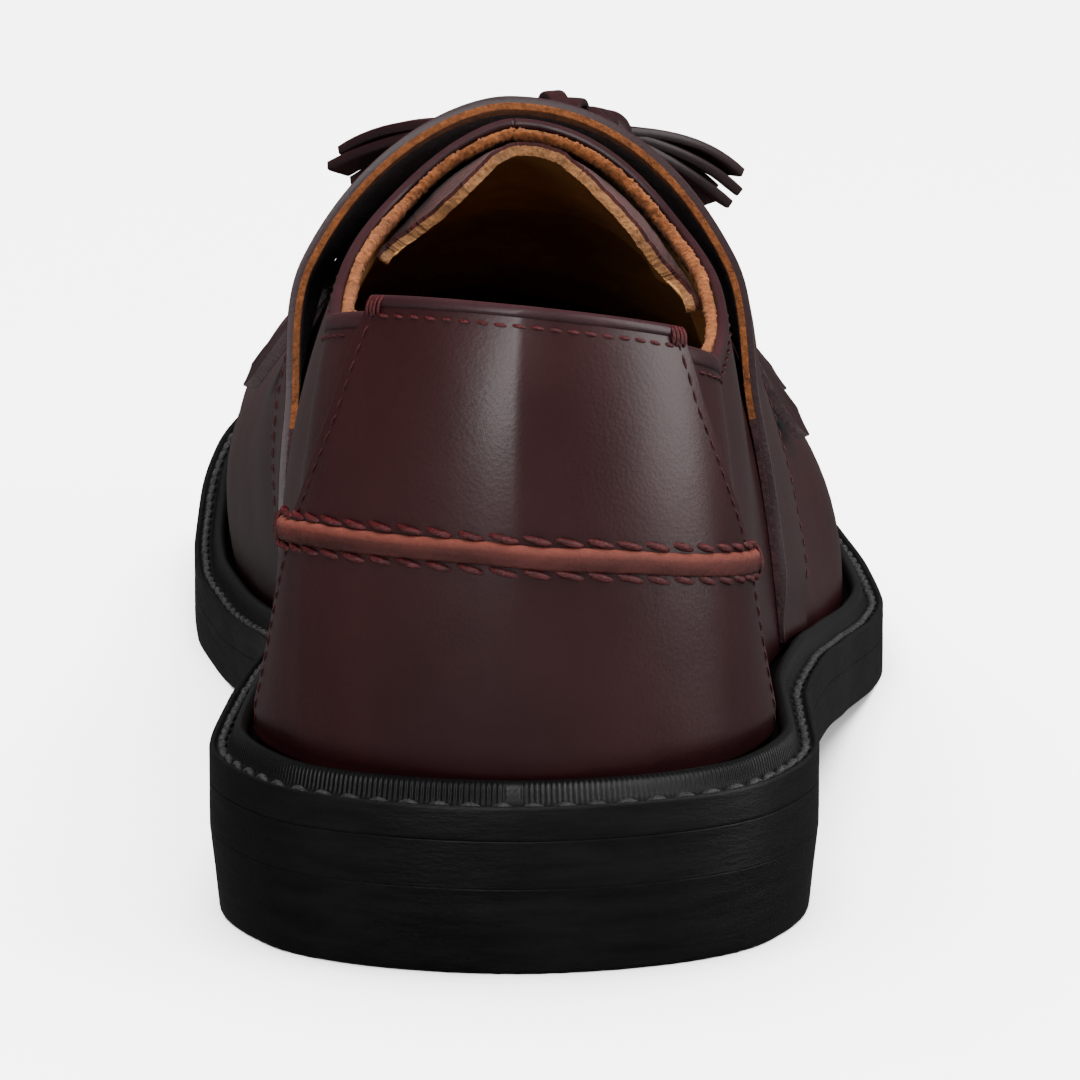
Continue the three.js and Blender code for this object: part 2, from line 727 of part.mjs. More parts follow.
// The kiltie: a root under the saddle and a row of strips fused to it
function kiltie() {
  const low = () => seat;
  const high = () => seat + kiltieThickness;
  const across = (y, v) => (v < 0.5 ? innerReach : outerReach)(y / soleLength) * (2 * v - 1);
  const root = sheetOnLast({
    rows: 2,
    columns: kiltieStrips,
    place: (u, v) => {
      const y = soleLength * (kiltieRoot + (kiltieSlit - kiltieRoot) * u);
      return [y, across(y, v)];
    },
    low,
    high,
  });
  const arc = lastPoint(Math.PI / 2, 0.7).distanceTo(lastPoint(Math.PI / 2, -0.7));
  const slit = stripSlit / arc / 2;
  const strip = (k) => {
    const [from, to] = [k / kiltieStrips + slit, (k + 1) / kiltieStrips - slit];
    const middle = (from + to) / 2;
    const end = kiltieFront - kiltieSweep * (2 * middle - 1) ** 2;
    const start = kiltieSlit - 0.008;
    return sheetOnLast({
      rows: 5,
      columns: 1,
      place: (u, v) => {
        const y = soleLength * (start + (end - start) * u);
        const taper = 1 - 0.6 * THREE.MathUtils.smoothstep(u, 0.8, 1.05);
        return [y, across(y, middle + (to - from) * (v - 0.5) * taper)];
      },
      low,
      high,
    });
  };
  return Array.from({ length: kiltieStrips }, (_, k) => strip(k)).reduce((sum, next) => sum.add(next), root);
}

// The middle of the knot, resting on the saddle
function knotCentre() {
  const angle = angleAtY(knotAt * soleLength);
  return offLast(angle, knotAside, kiltieClear + saddleThickness + seat + knotHeight / 2);
}

function geometrySolid(geometry, matrix) {
  const flat = (geometry.index ? geometry.toNonIndexed() : geometry).applyMatrix4(matrix);
  const corners = [];
  for (let i = 0; i < flat.attributes.position.count; i++) {
    corners.push(new THREE.Vector3().fromBufferAttribute(flat.attributes.position, i));
  }
  return solidOf(corners);
}

// Where a tassel starts beside the knot, and its frame: along, across and up
function tasselFrame(way) {
  const along = way.clone().normalize();
  const across = new THREE.Vector3(0, 0, 1).cross(along).normalize();
  const up = along.clone().cross(across);
  const start = knotCentre().addScaledVector(along, knotWidth / 2 + capGap);
  return { along, across, up, start };
}

// The knot on the saddle with the two lace ends that carry the tassels
function tasselTie() {
  const middle = knotCentre();
  const body = new THREE.SphereGeometry(1, 12, 8);
  const size = new THREE.Matrix4().makeScale(knotWidth / 2, knotWidth / 2.6, knotHeight / 2);
  const knot = geometrySolid(body, size.setPosition(middle));
  const lace = (way) => {
    const { start, along } = tasselFrame(way);
    const path = new THREE.LineCurve3(middle.clone(), start.clone().addScaledVector(along, -seat));
    const round = new THREE.Shape().absarc(0, 0, tieDiameter / 2, 0, 2 * Math.PI);
    const tube = new THREE.ExtrudeGeometry(round, { extrudePath: path, steps: 1, curveSegments: 5 });
    return geometrySolid(tube, new THREE.Matrix4());
  };
  return knot.add(lace(outerTasselWay)).add(lace(innerTasselWay));
}

// One strip of the fringe: it leaves the cap and fans out sideways and up or down
function fringeStrip(frame, spread, lift, length) {
  const point = (reach, side, height) => {
    const open = Math.sin((reach * Math.PI) / 2);
    const along = tasselCapLength * 0.5 + reach * (length + tasselCapLength * 0.5);
    return frame.start
      .clone()
      .addScaledVector(frame.along, along)
      .addScaledVector(frame.across, spread * open + side)
      .addScaledVector(frame.up, lift * open - tasselDroop * reach * reach + height);
  };
  const rows = [0, 0.3, 0.65, 1];
  const grid = (height) =>
    rows.map((reach) => {
      const half = (fringeWidth / 2) * (0.62 + 0.38 * Math.min(1, reach * 2));
      return [point(reach, -half, height), point(reach, half, height)];
    });
  return slab(grid(-fringeThickness / 2), grid(fringeThickness / 2));
}

function tassel(way) {
  const frame = tasselFrame(way);
  const radius = tasselCapDiameter / 2;
  const outline = [
    [0, 0],
    [radius * 0.6, 0],
    [radius, capShoulder],
    [radius, tasselCapLength - capLip],
    [radius * 0.85, tasselCapLength],
    [0, tasselCapLength],
  ];
  const cap = new THREE.LatheGeometry(outline.map(([r, y]) => new THREE.Vector2(r, y)), 12);
  const side = frame.across.clone().cross(frame.along);
  const turn = new THREE.Matrix4().makeBasis(frame.across, frame.along, side);
  let made = geometrySolid(cap, turn.setPosition(frame.start));
  for (const { count, lift } of fringeLayers) {
    for (let i = 0; i < count; i++) {
      const spread = ((i - (count - 1) / 2) / 3) * (tasselSpread - fringeWidth);
      const uneven = i % 2;
      const length = tasselLength * (1 - 0.05 * uneven - 0.03 * Math.abs(lift));
      made = made.add(fringeStrip(frame, spread, lift * tasselDepth + fringeStep * (uneven - 0.5), length));
    }
  }
  return made;
}

const group = new THREE.Group();
const shoe = new THREE.Group();
shoe.name = "shoe";
shoe.position.y = -heelSeat;
group.add(shoe);

function add(name, solid, color, roughness) {
  const material = new THREE.MeshStandardMaterial({ color, roughness, metalness: 0 });
  const mesh = new THREE.Mesh(meshOf(solid), material);
  mesh.name = name;
  shoe.add(mesh);
}

const soleBlack = 0x1b1a1a;
const burgundy = 0x2c0e12;
const tan = 0xb47c4c;
const seamRed = 0x73322a;

add("heel", heelBlock(), soleBlack, 0.6);
add("outsole", outsole(), soleBlack, 0.55);
add("welt", stormWelt(), soleBlack, 0.5);
add("insole", insole(), tan, 0.7);
add("upper", upper(), burgundy, 0.35);
add("tongue", tongue(), tan, 0.7);
add("counter_top", counterPanel(true), burgundy, 0.35);
add("counter_base", counterPanel(false), burgundy, 0.35);
add("heel_seam", heelSeam(), seamRed, 0.6);
add("kiltie", kiltie(), burgundy, 0.4);
add("saddle", saddle(), burgundy, 0.35);
add("tassel_tie", tasselTie(), burgundy, 0.4);
add("tassel_outer", tassel(outerTasselWay), burgundy, 0.4);
add("tassel_inner", tassel(innerTasselWay), burgundy, 0.4);

export default group;
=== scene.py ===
"""A right tassel loafer in burgundy leather on a storm-welted sole, dressed over its solid model."""

import math

import bmesh
import bpy
import numpy as np
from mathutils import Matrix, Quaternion, Vector


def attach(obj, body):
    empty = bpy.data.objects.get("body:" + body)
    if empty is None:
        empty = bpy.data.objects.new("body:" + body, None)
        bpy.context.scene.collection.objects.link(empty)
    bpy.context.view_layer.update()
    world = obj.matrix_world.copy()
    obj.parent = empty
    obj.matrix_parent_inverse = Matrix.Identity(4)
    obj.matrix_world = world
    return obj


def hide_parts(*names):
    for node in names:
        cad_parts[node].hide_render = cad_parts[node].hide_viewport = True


bl_info = {
    "name": "Tassel Loafer",
    "version": (1, 0, 0),
    "blender": (4, 5, 0),
    "location": "View3D > Sidebar > Loafer",
    "description": "Builds a burgundy tassel loafer piece by piece over its solid model",
    "category": "Add Mesh",
}

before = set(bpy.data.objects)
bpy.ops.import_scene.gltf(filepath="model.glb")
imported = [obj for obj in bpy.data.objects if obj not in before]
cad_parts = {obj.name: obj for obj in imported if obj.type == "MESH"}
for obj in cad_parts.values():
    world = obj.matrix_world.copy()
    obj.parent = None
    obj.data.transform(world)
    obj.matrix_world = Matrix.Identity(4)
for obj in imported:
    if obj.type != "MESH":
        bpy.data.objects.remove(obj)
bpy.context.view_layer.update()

# Sizes of the solid model, in millimetres, with Y running forward from the back of the sole
SOLE_LENGTH = 296.0
BALL_WIDTH = 102.0
WAIST_WIDTH = 75.0
HEEL_WIDTH = 76.0
HEEL_LENGTH = 72.0
HEEL_HEIGHT = 10.5
HEEL_TAPER = 1.1
OUTSOLE_THICKNESS = 5.6
WELT_THICKNESS = 4.2
WELT_REACH = 13.0
BEAD_INSET = 3.0
BEAD_WIDTH = 1.9
BEAD_HEIGHT = 2.4
TOE_SPRING = 16.0
SEAT = 0.3
FEATHER_INSET = 6.2
UPPER_WALL = 2.4
LEATHER = 1.0
INSTEP_RISE = 72.0
BACK_HEIGHT = 58.0
COLLAR_TILT = 0.11
INSOLE_THICKNESS = 3.5
TONGUE_GAP = 0.5
TONGUE_THICKNESS = 1.8
TONGUE_SHOW = 4.5
COUNTER_THICKNESS = 1.2
COUNTER_STAND = 1.7
SEAM_UP = 0.525
SEAM_REACH = 0.09
SEAM_WIDTH = 3.0
SEAM_PROUD = 2.4
SEAM_TILT = 0.08
SEAM_FALL = 0.15
KILTIE_THICKNESS = 1.6
KILTIE_STRIPS = 17
KILTIE_ROOT = 0.41
KILTIE_SLIT = 0.455
KILTIE_FRONT = 0.572
KILTIE_SWEEP = 0.05
SADDLE_THICKNESS = 1.9
SADDLE_STAND_FROM = 0.57
SADDLE_STAND_TO = 0.78
SADDLE_REAR_STAND = 3.4
KNOT_AT = 0.402
KNOT_ASIDE = 0.08
KNOT_WIDTH = 9.0
KNOT_HEIGHT = 5.4
TASSEL_CAP_LENGTH = 8.0
TASSEL_CAP_DIAMETER = 6.0
CAP_GAP = 3.0
TASSEL_LENGTH = 23.0
TASSEL_SPREAD = 15.0
TASSEL_DEPTH = 4.6
TASSEL_DROOP = 4.5
FRINGE_WIDTH = 4.0
FRINGE_THICKNESS = 1.7
OUTER_TASSEL_WAY = (17.5, 25.0, -7.0)
INNER_TASSEL_WAY = (-21.0, 23.0, -4.5)
HEEL_SEAT = HEEL_WIDTH / 2
WELT_TOP = OUTSOLE_THICKNESS + WELT_THICKNESS + SEAT
KILTIE_CLEAR = SEAT + KILTIE_THICKNESS + SEAT
HEEL_TOP = HEEL_HEIGHT + SEAT + WELT_TOP
HEEL_POLE = 0.13
TOE_POLE = 0.875

# Sole outline: share of the length, width it is a share of, outer reach, inner reach
SOLE_OUTLINE = [
    (0.0, HEEL_WIDTH, 0.0, 0.0), (0.05, HEEL_WIDTH, 0.414, 0.414), (0.12, HEEL_WIDTH, 0.5, 0.5),
    (0.2, HEEL_WIDTH, 0.503, 0.48), (0.28, WAIST_WIDTH, 0.552, 0.453), (0.36, WAIST_WIDTH, 0.603, 0.433),
    (0.44, WAIST_WIDTH, 0.648, 0.452), (0.52, BALL_WIDTH, 0.519, 0.371), (0.59, BALL_WIDTH, 0.546, 0.411),
    (0.66, BALL_WIDTH, 0.541, 0.442), (0.73, BALL_WIDTH, 0.518, 0.452), (0.8, BALL_WIDTH, 0.475, 0.45),
    (0.87, BALL_WIDTH, 0.407, 0.432), (0.93, BALL_WIDTH, 0.322, 0.378), (0.975, BALL_WIDTH, 0.19, 0.272),
    (1.0, BALL_WIDTH, -0.04, 0.04),
]

# Underside of the sole: share of the length, share of the heel height, share of the toe spring
SOLE_UNDER = [
    (0.0, 1.0, 0.0), (0.25, 1.0, 0.0), (0.3, 0.92, 0.0), (0.385, 0.6, 0.0), (0.47, 0.25, 0.0),
    (0.545, 0.03, 0.0), (0.57, 0.0, 0.0), (0.65, 0.0, 0.0), (0.72, 0.0, 0.06), (0.8, 0.0, 0.25),
    (0.87, 0.0, 0.48), (0.93, 0.0, 0.72), (1.0, 0.0, 1.0),
]

# Crown of the last: share of the length, share of the instep rise, ridge as a share of the ball width
CROWN = [
    (0.0, 1.17, 0.025), (0.13, 1.154, 0.025), (0.236, 1.07, 0.021), (0.287, 1.004, 0.009),
    (0.338, 0.965, 0.001), (0.405, 0.901, 0.016), (0.49, 0.805, 0.024), (0.574, 0.705, 0.012),
    (0.659, 0.617, -0.004), (0.743, 0.545, -0.022), (0.828, 0.478, -0.036), (0.875, 0.435, -0.042),
    (1.0, 0.3, -0.042),
]

# Section of the last: share of the length, outer lean and turn, inner lean and turn, upright
LAST_SECTION = [
    (0.0, -0.2, 0.25, -0.2, 0.25, 0.6), (0.06, 0.05, 0.24, 0.05, 0.24, 0.6),
    (0.125, 0.34, 0.24, 0.34, 0.24, 0.6), (0.21, 0.07, 0.29, -0.04, 0.59, 0.67),
    (0.3, 0.17, 0.58, -0.27, 0.79, 0.76), (0.37, 0.16, 0.61, -0.39, 0.68, 0.8),
    (0.473, 0.24, 0.46, -0.42, 0.46, 0.79), (0.575, -0.02, 0.72, -0.28, 0.42, 0.74),
    (0.68, -0.04, 0.68, -0.18, 0.42, 0.72), (0.78, -0.05, 0.58, -0.12, 0.44, 0.72),
    (0.88, -0.06, 0.5, -0.1, 0.44, 0.72), (1.0, -0.08, 0.42, -0.08, 0.42, 0.72),
]

# Collar line: share of the length, share of the back height above the welt
COLLAR = [
    (0.0, 1.0), (0.03, 0.983), (0.085, 0.918), (0.12, 0.872), (0.152, 0.833), (0.19, 0.873),
    (0.23, 0.953), (0.27, 1.044), (0.304, 1.247), (0.335, 1.32),
]
COUNTER_FRONT = [
    (-0.2, 0.138), (0.05, 0.126), (0.3, 0.108), (0.5, 0.088), (0.62, 0.075), (0.8, 0.065), (1.2, 0.062),
]
SADDLE_EDGES = [
    (-0.3, 0.294, 0.392), (0.0, 0.3, 0.4), (0.35, 0.318, 0.422), (0.8, 0.338, 0.438), (1.5, 0.352, 0.446),
]
KILTIE_REACH = [(0.36, 0.46, 0.46), (0.45, 0.565, 0.56), (0.505, 0.735, 0.645), (0.58, 0.86, 0.76)]


class Smooth:
    """A smooth curve through the rows of a table that never overshoots them."""

    def __init__(self, places, values):
        self.x = np.array(places, float)
        self.y = np.array(values, float)
        slope = np.diff(self.y) / np.diff(self.x)
        before = np.concatenate([slope[:1], slope])
        after = np.concatenate([slope, slope[-1:]])
        total = np.where(before + after == 0, 1.0, before + after)
        self.pull = np.where(before * after <= 0, 0.0, 2 * before * after / total)

    def __call__(self, place):
        at = np.clip(np.asarray(place, float), self.x[0], self.x[-1])
        i = np.clip(np.searchsorted(self.x, at) - 1, 0, len(self.x) - 2)
        step = self.x[i + 1] - self.x[i]
        t = (at - self.x[i]) / step
        ease = t * t * (3 - 2 * t)
        lead = t * (1 - t) ** 2 * step * self.pull[i]
        trail = t * t * (t - 1) * step * self.pull[i + 1]
        return self.y[i] + (self.y[i + 1] - self.y[i]) * ease + lead + trail


def angle_of(share):
    """The angle round the outline that spaces stations closely at heel and toe."""
    return np.arccos(1 - 2 * np.clip(np.asarray(share, float), 0, 1))


def column(table, index, scale=1.0):
    return [row[index] * scale for row in table]


outline_angles = angle_of(column(SOLE_OUTLINE, 0))
outer_edge = Smooth(outline_angles, [row[1] * row[2] for row in SOLE_OUTLINE])
inner_edge = Smooth(outline_angles, [row[1] * row[3] for row in SOLE_OUTLINE])
under_rise = Smooth(
    column(SOLE_UNDER, 0), [row[1] * (HEEL_HEIGHT + SEAT) + row[2] * TOE_SPRING for row in SOLE_UNDER]
)
crown_rise = Smooth(column(CROWN, 0), column(CROWN, 1, INSTEP_RISE))
ridge_place = Smooth(column(CROWN, 0), column(CROWN, 2, BALL_WIDTH))
section_angles = angle_of(column(LAST_SECTION, 0))
outer_lean, outer_turn, inner_lean, inner_turn, upright = (
    Smooth(section_angles, column(LAST_SECTION, index)) for index in range(1, 6)
)
collar_height = Smooth(column(COLLAR, 0), [HEEL_TOP + row[1] * BACK_HEIGHT for row in COLLAR])
counter_front = Smooth(column(COUNTER_FRONT, 0), column(COUNTER_FRONT, 1, SOLE_LENGTH))
saddle_rear = Smooth(column(SADDLE_EDGES, 0), column(SADDLE_EDGES, 1, SOLE_LENGTH))
saddle_front = Smooth(column(SADDLE_EDGES, 0), column(SADDLE_EDGES, 2, SOLE_LENGTH))
outer_reach = Smooth(column(KILTIE_REACH, 0), column(KILTIE_REACH, 1))
inner_reach = Smooth(column(KILTIE_REACH, 0), column(KILTIE_REACH, 2))


def sole_bottom(y):
    return under_rise(np.asarray(y) / SOLE_LENGTH)


def welt_top(y):
    return sole_bottom(y) + WELT_TOP


def smoothstep(value, low, high):
    t = np.clip((np.asarray(value, float) - low) / (high - low), 0, 1)
    return t * t * (3 - 2 * t)


def unit(vectors):
    length = np.linalg.norm(vectors, axis=-1, keepdims=True)
    return vectors / np.where(length == 0, 1, length)


def angle_at(y):
    return np.arccos(np.clip(1 - (np.asarray(y, float) - FEATHER_INSET) / (SOLE_LENGTH / 2 - FEATHER_INSET), -1, 1))


def drawn_edge(angle, side, inset):
    """The last's edge, drawn in from the sole's outline."""
    middle = (outer_edge(angle) - inner_edge(angle)) / 2
    half = (outer_edge(angle) + inner_edge(angle)) / 2
    round_half = HEEL_WIDTH * 0.34
    return middle + side * (half - inset * half / (half**4 + round_half**4) ** 0.25)


def last_point(angle, across):
    """The last's surface: across runs from -1 at the inner edge over 0 at the crown to 1 outside."""
    angle, across = np.broadcast_arrays(np.asarray(angle, float), np.asarray(across, float))
    side = np.where(across < 0, -1.0, 1.0)
    climb = 1 - np.abs(across)
    y = FEATHER_INSET + (SOLE_LENGTH / 2 - FEATHER_INSET) * (1 - np.cos(angle))
    pole = np.clip(y / SOLE_LENGTH, HEEL_POLE, TOE_POLE)
    lean = np.where(side > 0, outer_lean(angle), inner_lean(angle))
    turn = np.where(side > 0, outer_turn(angle), inner_turn(angle))
    early = 3 * climb * (1 - climb) ** 2
    late = 3 * climb**2 * (1 - climb)
    inwards = early * lean + late * turn + climb**3
    upwards = early * upright(angle) + late + climb**3
    base = welt_top(y) + SEAT
    top = welt_top(pole * SOLE_LENGTH) + crown_rise(pole)
    foot = drawn_edge(angle, side, FEATHER_INSET)
    return np.stack(
        [
            foot + (ridge_place(pole) - foot) * inwards,
            y + (pole * SOLE_LENGTH - y) * inwards,
            base + (top - base) * upwards,
        ],
        axis=-1,
    )


def last_normal(angle, across):
    fine = 0.004
    here = np.clip(angle, fine, math.pi - fine)
    level = np.clip(across, -1 + fine, 1 - fine)
    along = last_point(here + fine, level) - last_point(here - fine, level)
    over = last_point(here, level + fine) - last_point(here, level - fine)
    normal = unit(np.cross(over, along))
    at_end = (np.asarray(angle) < fine) | (np.asarray(angle) > math.pi - fine)
    normal[..., 0] = np.where(at_end, 0.0, normal[..., 0])
    return unit(normal)


def off_last(angle, across, distance):
    """A point standing off the last along its normal."""
    angle, across, distance = np.broadcast_arrays(
        np.asarray(angle, float), np.asarray(across, float), np.asarray(distance, float)
    )
    crown = np.abs(across) < 1e-9
    pole_range = angle_at(np.array([HEEL_POLE, TOE_POLE]) * SOLE_LENGTH)
    angle = np.where(crown, np.clip(angle, pole_range[0], pole_range[1]), angle)
    return last_point(angle, across) + last_normal(angle, across) * distance[..., None]


def place(points):
    """Millimetres from the back of the sole to metres in the shoe's own frame."""
    moved = np.array(points, float)
    moved[..., 1] -= HEEL_SEAT
    return moved / 1000


def climb_where(angle, side, below):
    """How far up the last's wall a test of its points stops holding."""
    angle = np.asarray(angle, float)
    low = np.zeros_like(angle)
    high = np.ones_like(angle)
    for _ in range(34):
        middle = (low + high) / 2
        holds = below(last_point(angle, side * (1 - middle)))
        low = np.where(holds, middle, low)
        high = np.where(holds, high, middle)
    return (low + high) / 2


def collar_climb(angle, side, lift=0.0):
    return climb_where(
        angle,
        side,
        lambda p: p[..., 2] < collar_height(p[..., 1] / SOLE_LENGTH) - COLLAR_TILT * p[..., 0] + lift,
    )


def seam_climb(angle, side, lift=0.0):
    return climb_where(
        angle,
        side,
        lambda p: p[..., 2] < HEEL_TOP + SEAM_UP * BACK_HEIGHT - SEAM_FALL * p[..., 1] - SEAM_TILT * p[..., 0] + lift,
    )


def throat_angle():
    """Where the collar line reaches the crown."""
    low, high = (float(angle_at(share * SOLE_LENGTH)) for share in (0.2, 0.335))
    for _ in range(40):
        middle = (low + high) / 2
        p = last_point(middle, 0.0)
        if p[2] > collar_height(p[1] / SOLE_LENGTH) - COLLAR_TILT * p[0]:
            low = middle
        else:
            high = middle
    return (low + high) / 2


def even_path(points, params, count):
    """Resamples a path's parameters so that its points lie evenly."""
    steps = np.linalg.norm(np.diff(points, axis=0), axis=1)
    length = np.concatenate([[0], np.cumsum(steps)])
    at = np.linspace(0, length[-1], count)
    return np.stack([np.interp(at, length, params[:, i]) for i in range(params.shape[1])], axis=1)


def collar_path(side, count):
    """Angles and climbs of the collar from the back of the heel to the throat, evenly spaced."""
    u = np.linspace(0, 1, 500)
    angle = throat_angle() * (1 - (1 - u) ** 2.6)
    climb = collar_climb(angle, side)
    climb[-1] = 1.0
    params = np.stack([angle, climb], axis=1)
    return even_path(last_point(angle, side * (1 - climb)), params, count)


def both_sides(count):
    """The collar's whole line from the throat round the heel: angles and acrosses, inner side first."""
    outer = collar_path(1, count)
    inner = collar_path(-1, count)
    inner_part = np.stack([inner[::-1, 0], -(1 - inner[::-1, 1])], axis=1)
    outer_part = np.stack([outer[:, 0], 1 - outer[:, 1]], axis=1)
    return np.concatenate([inner_part[:-1], outer_part])


# Meshes


def grid_faces(rows, columns, wrap_rows=False, wrap_columns=False):
    r = np.arange(rows if wrap_rows else rows - 1)
    c = np.arange(columns if wrap_columns else columns - 1)
    i, j = np.meshgrid(r, c, indexing="ij")
    k, m = (i + 1) % rows, (j + 1) % columns
    return np.stack([i * columns + j, i * columns + m, k * columns + m, k * columns + j], axis=-1).reshape(-1, 4)


def make_piece(name, vertices, faces, materials, slots=None, merge=1e-6, smooth_angle=None, attributes=None):
    """A named piece from points in metres, riding on the shoe, with its faces turned outward."""
    mesh = bpy.data.meshes.new(name)
    mesh.from_pydata([tuple(v) for v in vertices], [], [tuple(int(i) for i in f) for f in faces])
    for material in materials:
        mesh.materials.append(material)
    if slots is not None:
        mesh.polygons.foreach_set("material_index", np.asarray(slots, dtype=np.int32))
    for key, values in (attributes or {}).items():
        layer = mesh.attributes.new(key, "FLOAT", "POINT")
        layer.data.foreach_set("value", np.asarray(values, dtype=np.float32))
    work = bmesh.new()
    work.from_mesh(mesh)
    bmesh.ops.remove_doubles(work, verts=work.verts, dist=merge)
    bmesh.ops.dissolve_degenerate(work, dist=merge / 2, edges=work.edges)
    bmesh.ops.recalc_face_normals(work, faces=work.faces)
    for face in work.faces:
        face.smooth = True
    work.to_mesh(mesh)
    work.free()
    if smooth_angle is not None:
        mesh.set_sharp_from_angle(angle=math.radians(smooth_angle))
    piece = bpy.data.objects.new(name, mesh)
    bpy.context.scene.collection.objects.link(piece)
    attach(piece, "root")
    return piece


def soften(piece, width, segments=3, angle=42):
    """Rounds a piece's sharp edges, with a width in millimetres."""
    bevel = piece.modifiers.new("soft_edges", "BEVEL")
    bevel.width = width / 1000
    bevel.segments = segments
    bevel.limit_method = "ANGLE"
    bevel.angle_limit = math.radians(angle)
    bevel.use_clamp_overlap = True
    return piece


def perimeter(rows, columns):
    """Indices round the border of a grid, in order."""
    top = [(0, j) for j in range(columns)]
    right = [(i, columns - 1) for i in range(1, rows)]
    bottom = [(rows - 1, j) for j in range(columns - 2, -1, -1)]
    left = [(i, 0) for i in range(rows - 2, 0, -1)]
    return np.array([i * columns + j for i, j in top + right + bottom + left])


def layered(name, layers, materials, layer_slots, outer_slot=0, inner_slot=0, **options):
    """A solid sheet from matching grids, outermost first; each step between layers has its own slot."""
    rows, columns = layers[0].shape[:2]
    flat = [layer.reshape(-1, 3) for layer in layers]
    size = rows * columns
    vertices = [flat[0], flat[-1]]
    skin = grid_faces(rows, columns)
    faces = [skin, skin[:, ::-1] + size]
    slots = [np.broadcast_to(outer_slot, len(skin)), np.broadcast_to(inner_slot, len(skin))]
    border = perimeter(rows, columns)
    count = len(border)
    offset = 2 * size
    rings = []
    for n, layer in enumerate(flat):
        if n == 0:
            rings.append(border)
        elif n == len(flat) - 1:
            rings.append(border + size)
        else:
            vertices.append(layer[border])
            rings.append(np.arange(count) + offset)
            offset += count
    for n in range(len(flat) - 1):
        a, b = rings[n], rings[n + 1]
        faces.append(np.stack([a, np.roll(a, -1), np.roll(b, -1), b], axis=1))
        slots.append(np.broadcast_to(layer_slots[n], count))
    return make_piece(
        name, np.concatenate(vertices), np.concatenate(faces), materials, np.concatenate(slots), **options
    )


def swept(name, loops, materials, closed=False, slots=None, **options):
    """A solid through matching loops of points, ending in flat caps or joined to itself."""
    count, around = loops.shape[:2]
    faces = list(grid_faces(count, around, wrap_rows=closed, wrap_columns=True))
    if not closed:
        faces = [tuple(f) for f in faces]
        faces.append(tuple(range(around))[::-1])
        faces.append(tuple((count - 1) * around + i for i in range(around)))
    return make_piece(name, loops.reshape(-1, 3), faces, materials, slots, **options)


def path_frames(points, normals):
    """Along, down and out at each point of a path that lies on a surface."""
    along = unit(np.gradient(points, axis=0))
    out = unit(normals - along * np.sum(normals * along, axis=1, keepdims=True))
    return along, np.cross(along, out), out


def profile_sweep(points, frames, profile):
    """Loops of a profile, given as down and out in millimetres, at each point of a path."""
    _, down, out = frames
    profile = np.asarray(profile, float)
    if profile.ndim == 2:
        profile = np.broadcast_to(profile, (len(points),) + profile.shape)
    return points[:, None] + down[:, None] * profile[..., :1] + out[:, None] * profile[..., 1:]


def stitch_loops(points, normals, pitch, length, radius, lift, seed, lean=0.35, wander=0.12):
    """Vertices and faces of a row of thread stitches along a path, in millimetres."""
    rng = np.random.default_rng(seed)
    steps = np.linalg.norm(np.diff(points, axis=0), axis=1)
    distance = np.concatenate([[0], np.cumsum(steps)])
    count = max(1, int(distance[-1] / pitch))
    middles = (np.arange(count) + 0.5) * distance[-1] / count

    def at(where, values):
        return np.stack([np.interp(where, distance, values[:, i]) for i in range(3)], axis=-1)

    shares = np.array([-1.0, -0.93, -0.7, -0.35, 0.0, 0.35, 0.7, 0.93, 1.0])
    around = np.linspace(0, 2 * math.pi, 8, endpoint=False)
    vertices = []
    faces = []
    base = grid_faces(len(shares), len(around), wrap_columns=True)
    for n, middle in enumerate(middles):
        half = length / 2 * (1 + rng.uniform(-wander, wander) * 0.6)
        where = np.clip(middle + shares * half, 0, distance[-1])
        centre = at(where, points)
        out = unit(at(where, normals))
        along = unit(np.gradient(centre, axis=0))
        side = unit(np.cross(along, out))
        arch = lift * (np.cos(shares * math.pi / 2) * 1.6 - 0.6)
        slant = shares * radius * lean + rng.uniform(-wander, wander) * radius
        centre = centre + out * arch[:, None] + side * slant[:, None]
        wide = radius * np.array([0.05, 0.55, 0.85, 1.0, 1.02, 1.0, 0.85, 0.55, 0.05])
        ring = side[:, None] * (np.cos(around)[None, :, None] * wide[:, None, None])
        ring = ring + out[:, None] * (np.sin(around)[None, :, None] * wide[:, None, None] * 0.86)
        loops = centre[:, None] + ring
        vertices.append(loops.reshape(-1, 3))
        faces.append(base + n * len(shares) * len(around))
    return np.concatenate(vertices), np.concatenate(faces)


def stitch_row(name, angle, across, stand, material, pitch, length, radius, lift, seed, lean=0.35):
    """A row of stitches along a path on the last."""
    points = off_last(angle, across, stand)
    normals = last_normal(np.asarray(angle, float), np.asarray(across, float))
    vertices, faces = stitch_loops(points, normals, pitch, length, radius, lift, seed, lean)
    piece = make_piece(name, place(vertices), faces, [material], merge=1e-8)
    return piece


# Shader nodes


class Value:
    """A number from a shader socket that ordinary arithmetic can be written on."""

    def __init__(self, shader, socket):
        self.shader = shader
        self.socket = socket

    def maths(self, operation, first, second=None, clamp=False):
        inputs = {0: first} if second is None else {0: first, 1: second}
        return self.shader.node("ShaderNodeMath", {"operation": operation, "use_clamp": clamp}, inputs)

    def __add__(self, other):
        return self.maths("ADD", self, other)

    def __sub__(self, other):
        return self.maths("SUBTRACT", self, other)

    def __mul__(self, other):
        return self.maths("MULTIPLY", self, other)

    def __truediv__(self, other):
        return self.maths("DIVIDE", self, other)

    def __pow__(self, other):
        return self.maths("POWER", self, other)

    def __rsub__(self, other):
        return self.maths("SUBTRACT", other, self)

    __radd__ = __add__
    __rmul__ = __mul__

    def clamped(self):
        return self.maths("ADD", self, 0.0, clamp=True)

    def between(self, low, high):
        """0 below low, 1 above high and smooth between."""
        settings = {"interpolation_type": "SMOOTHSTEP"}
        return self.shader.node("ShaderNodeMapRange", settings, {"Value": self, "From Min": low, "From Max": high})


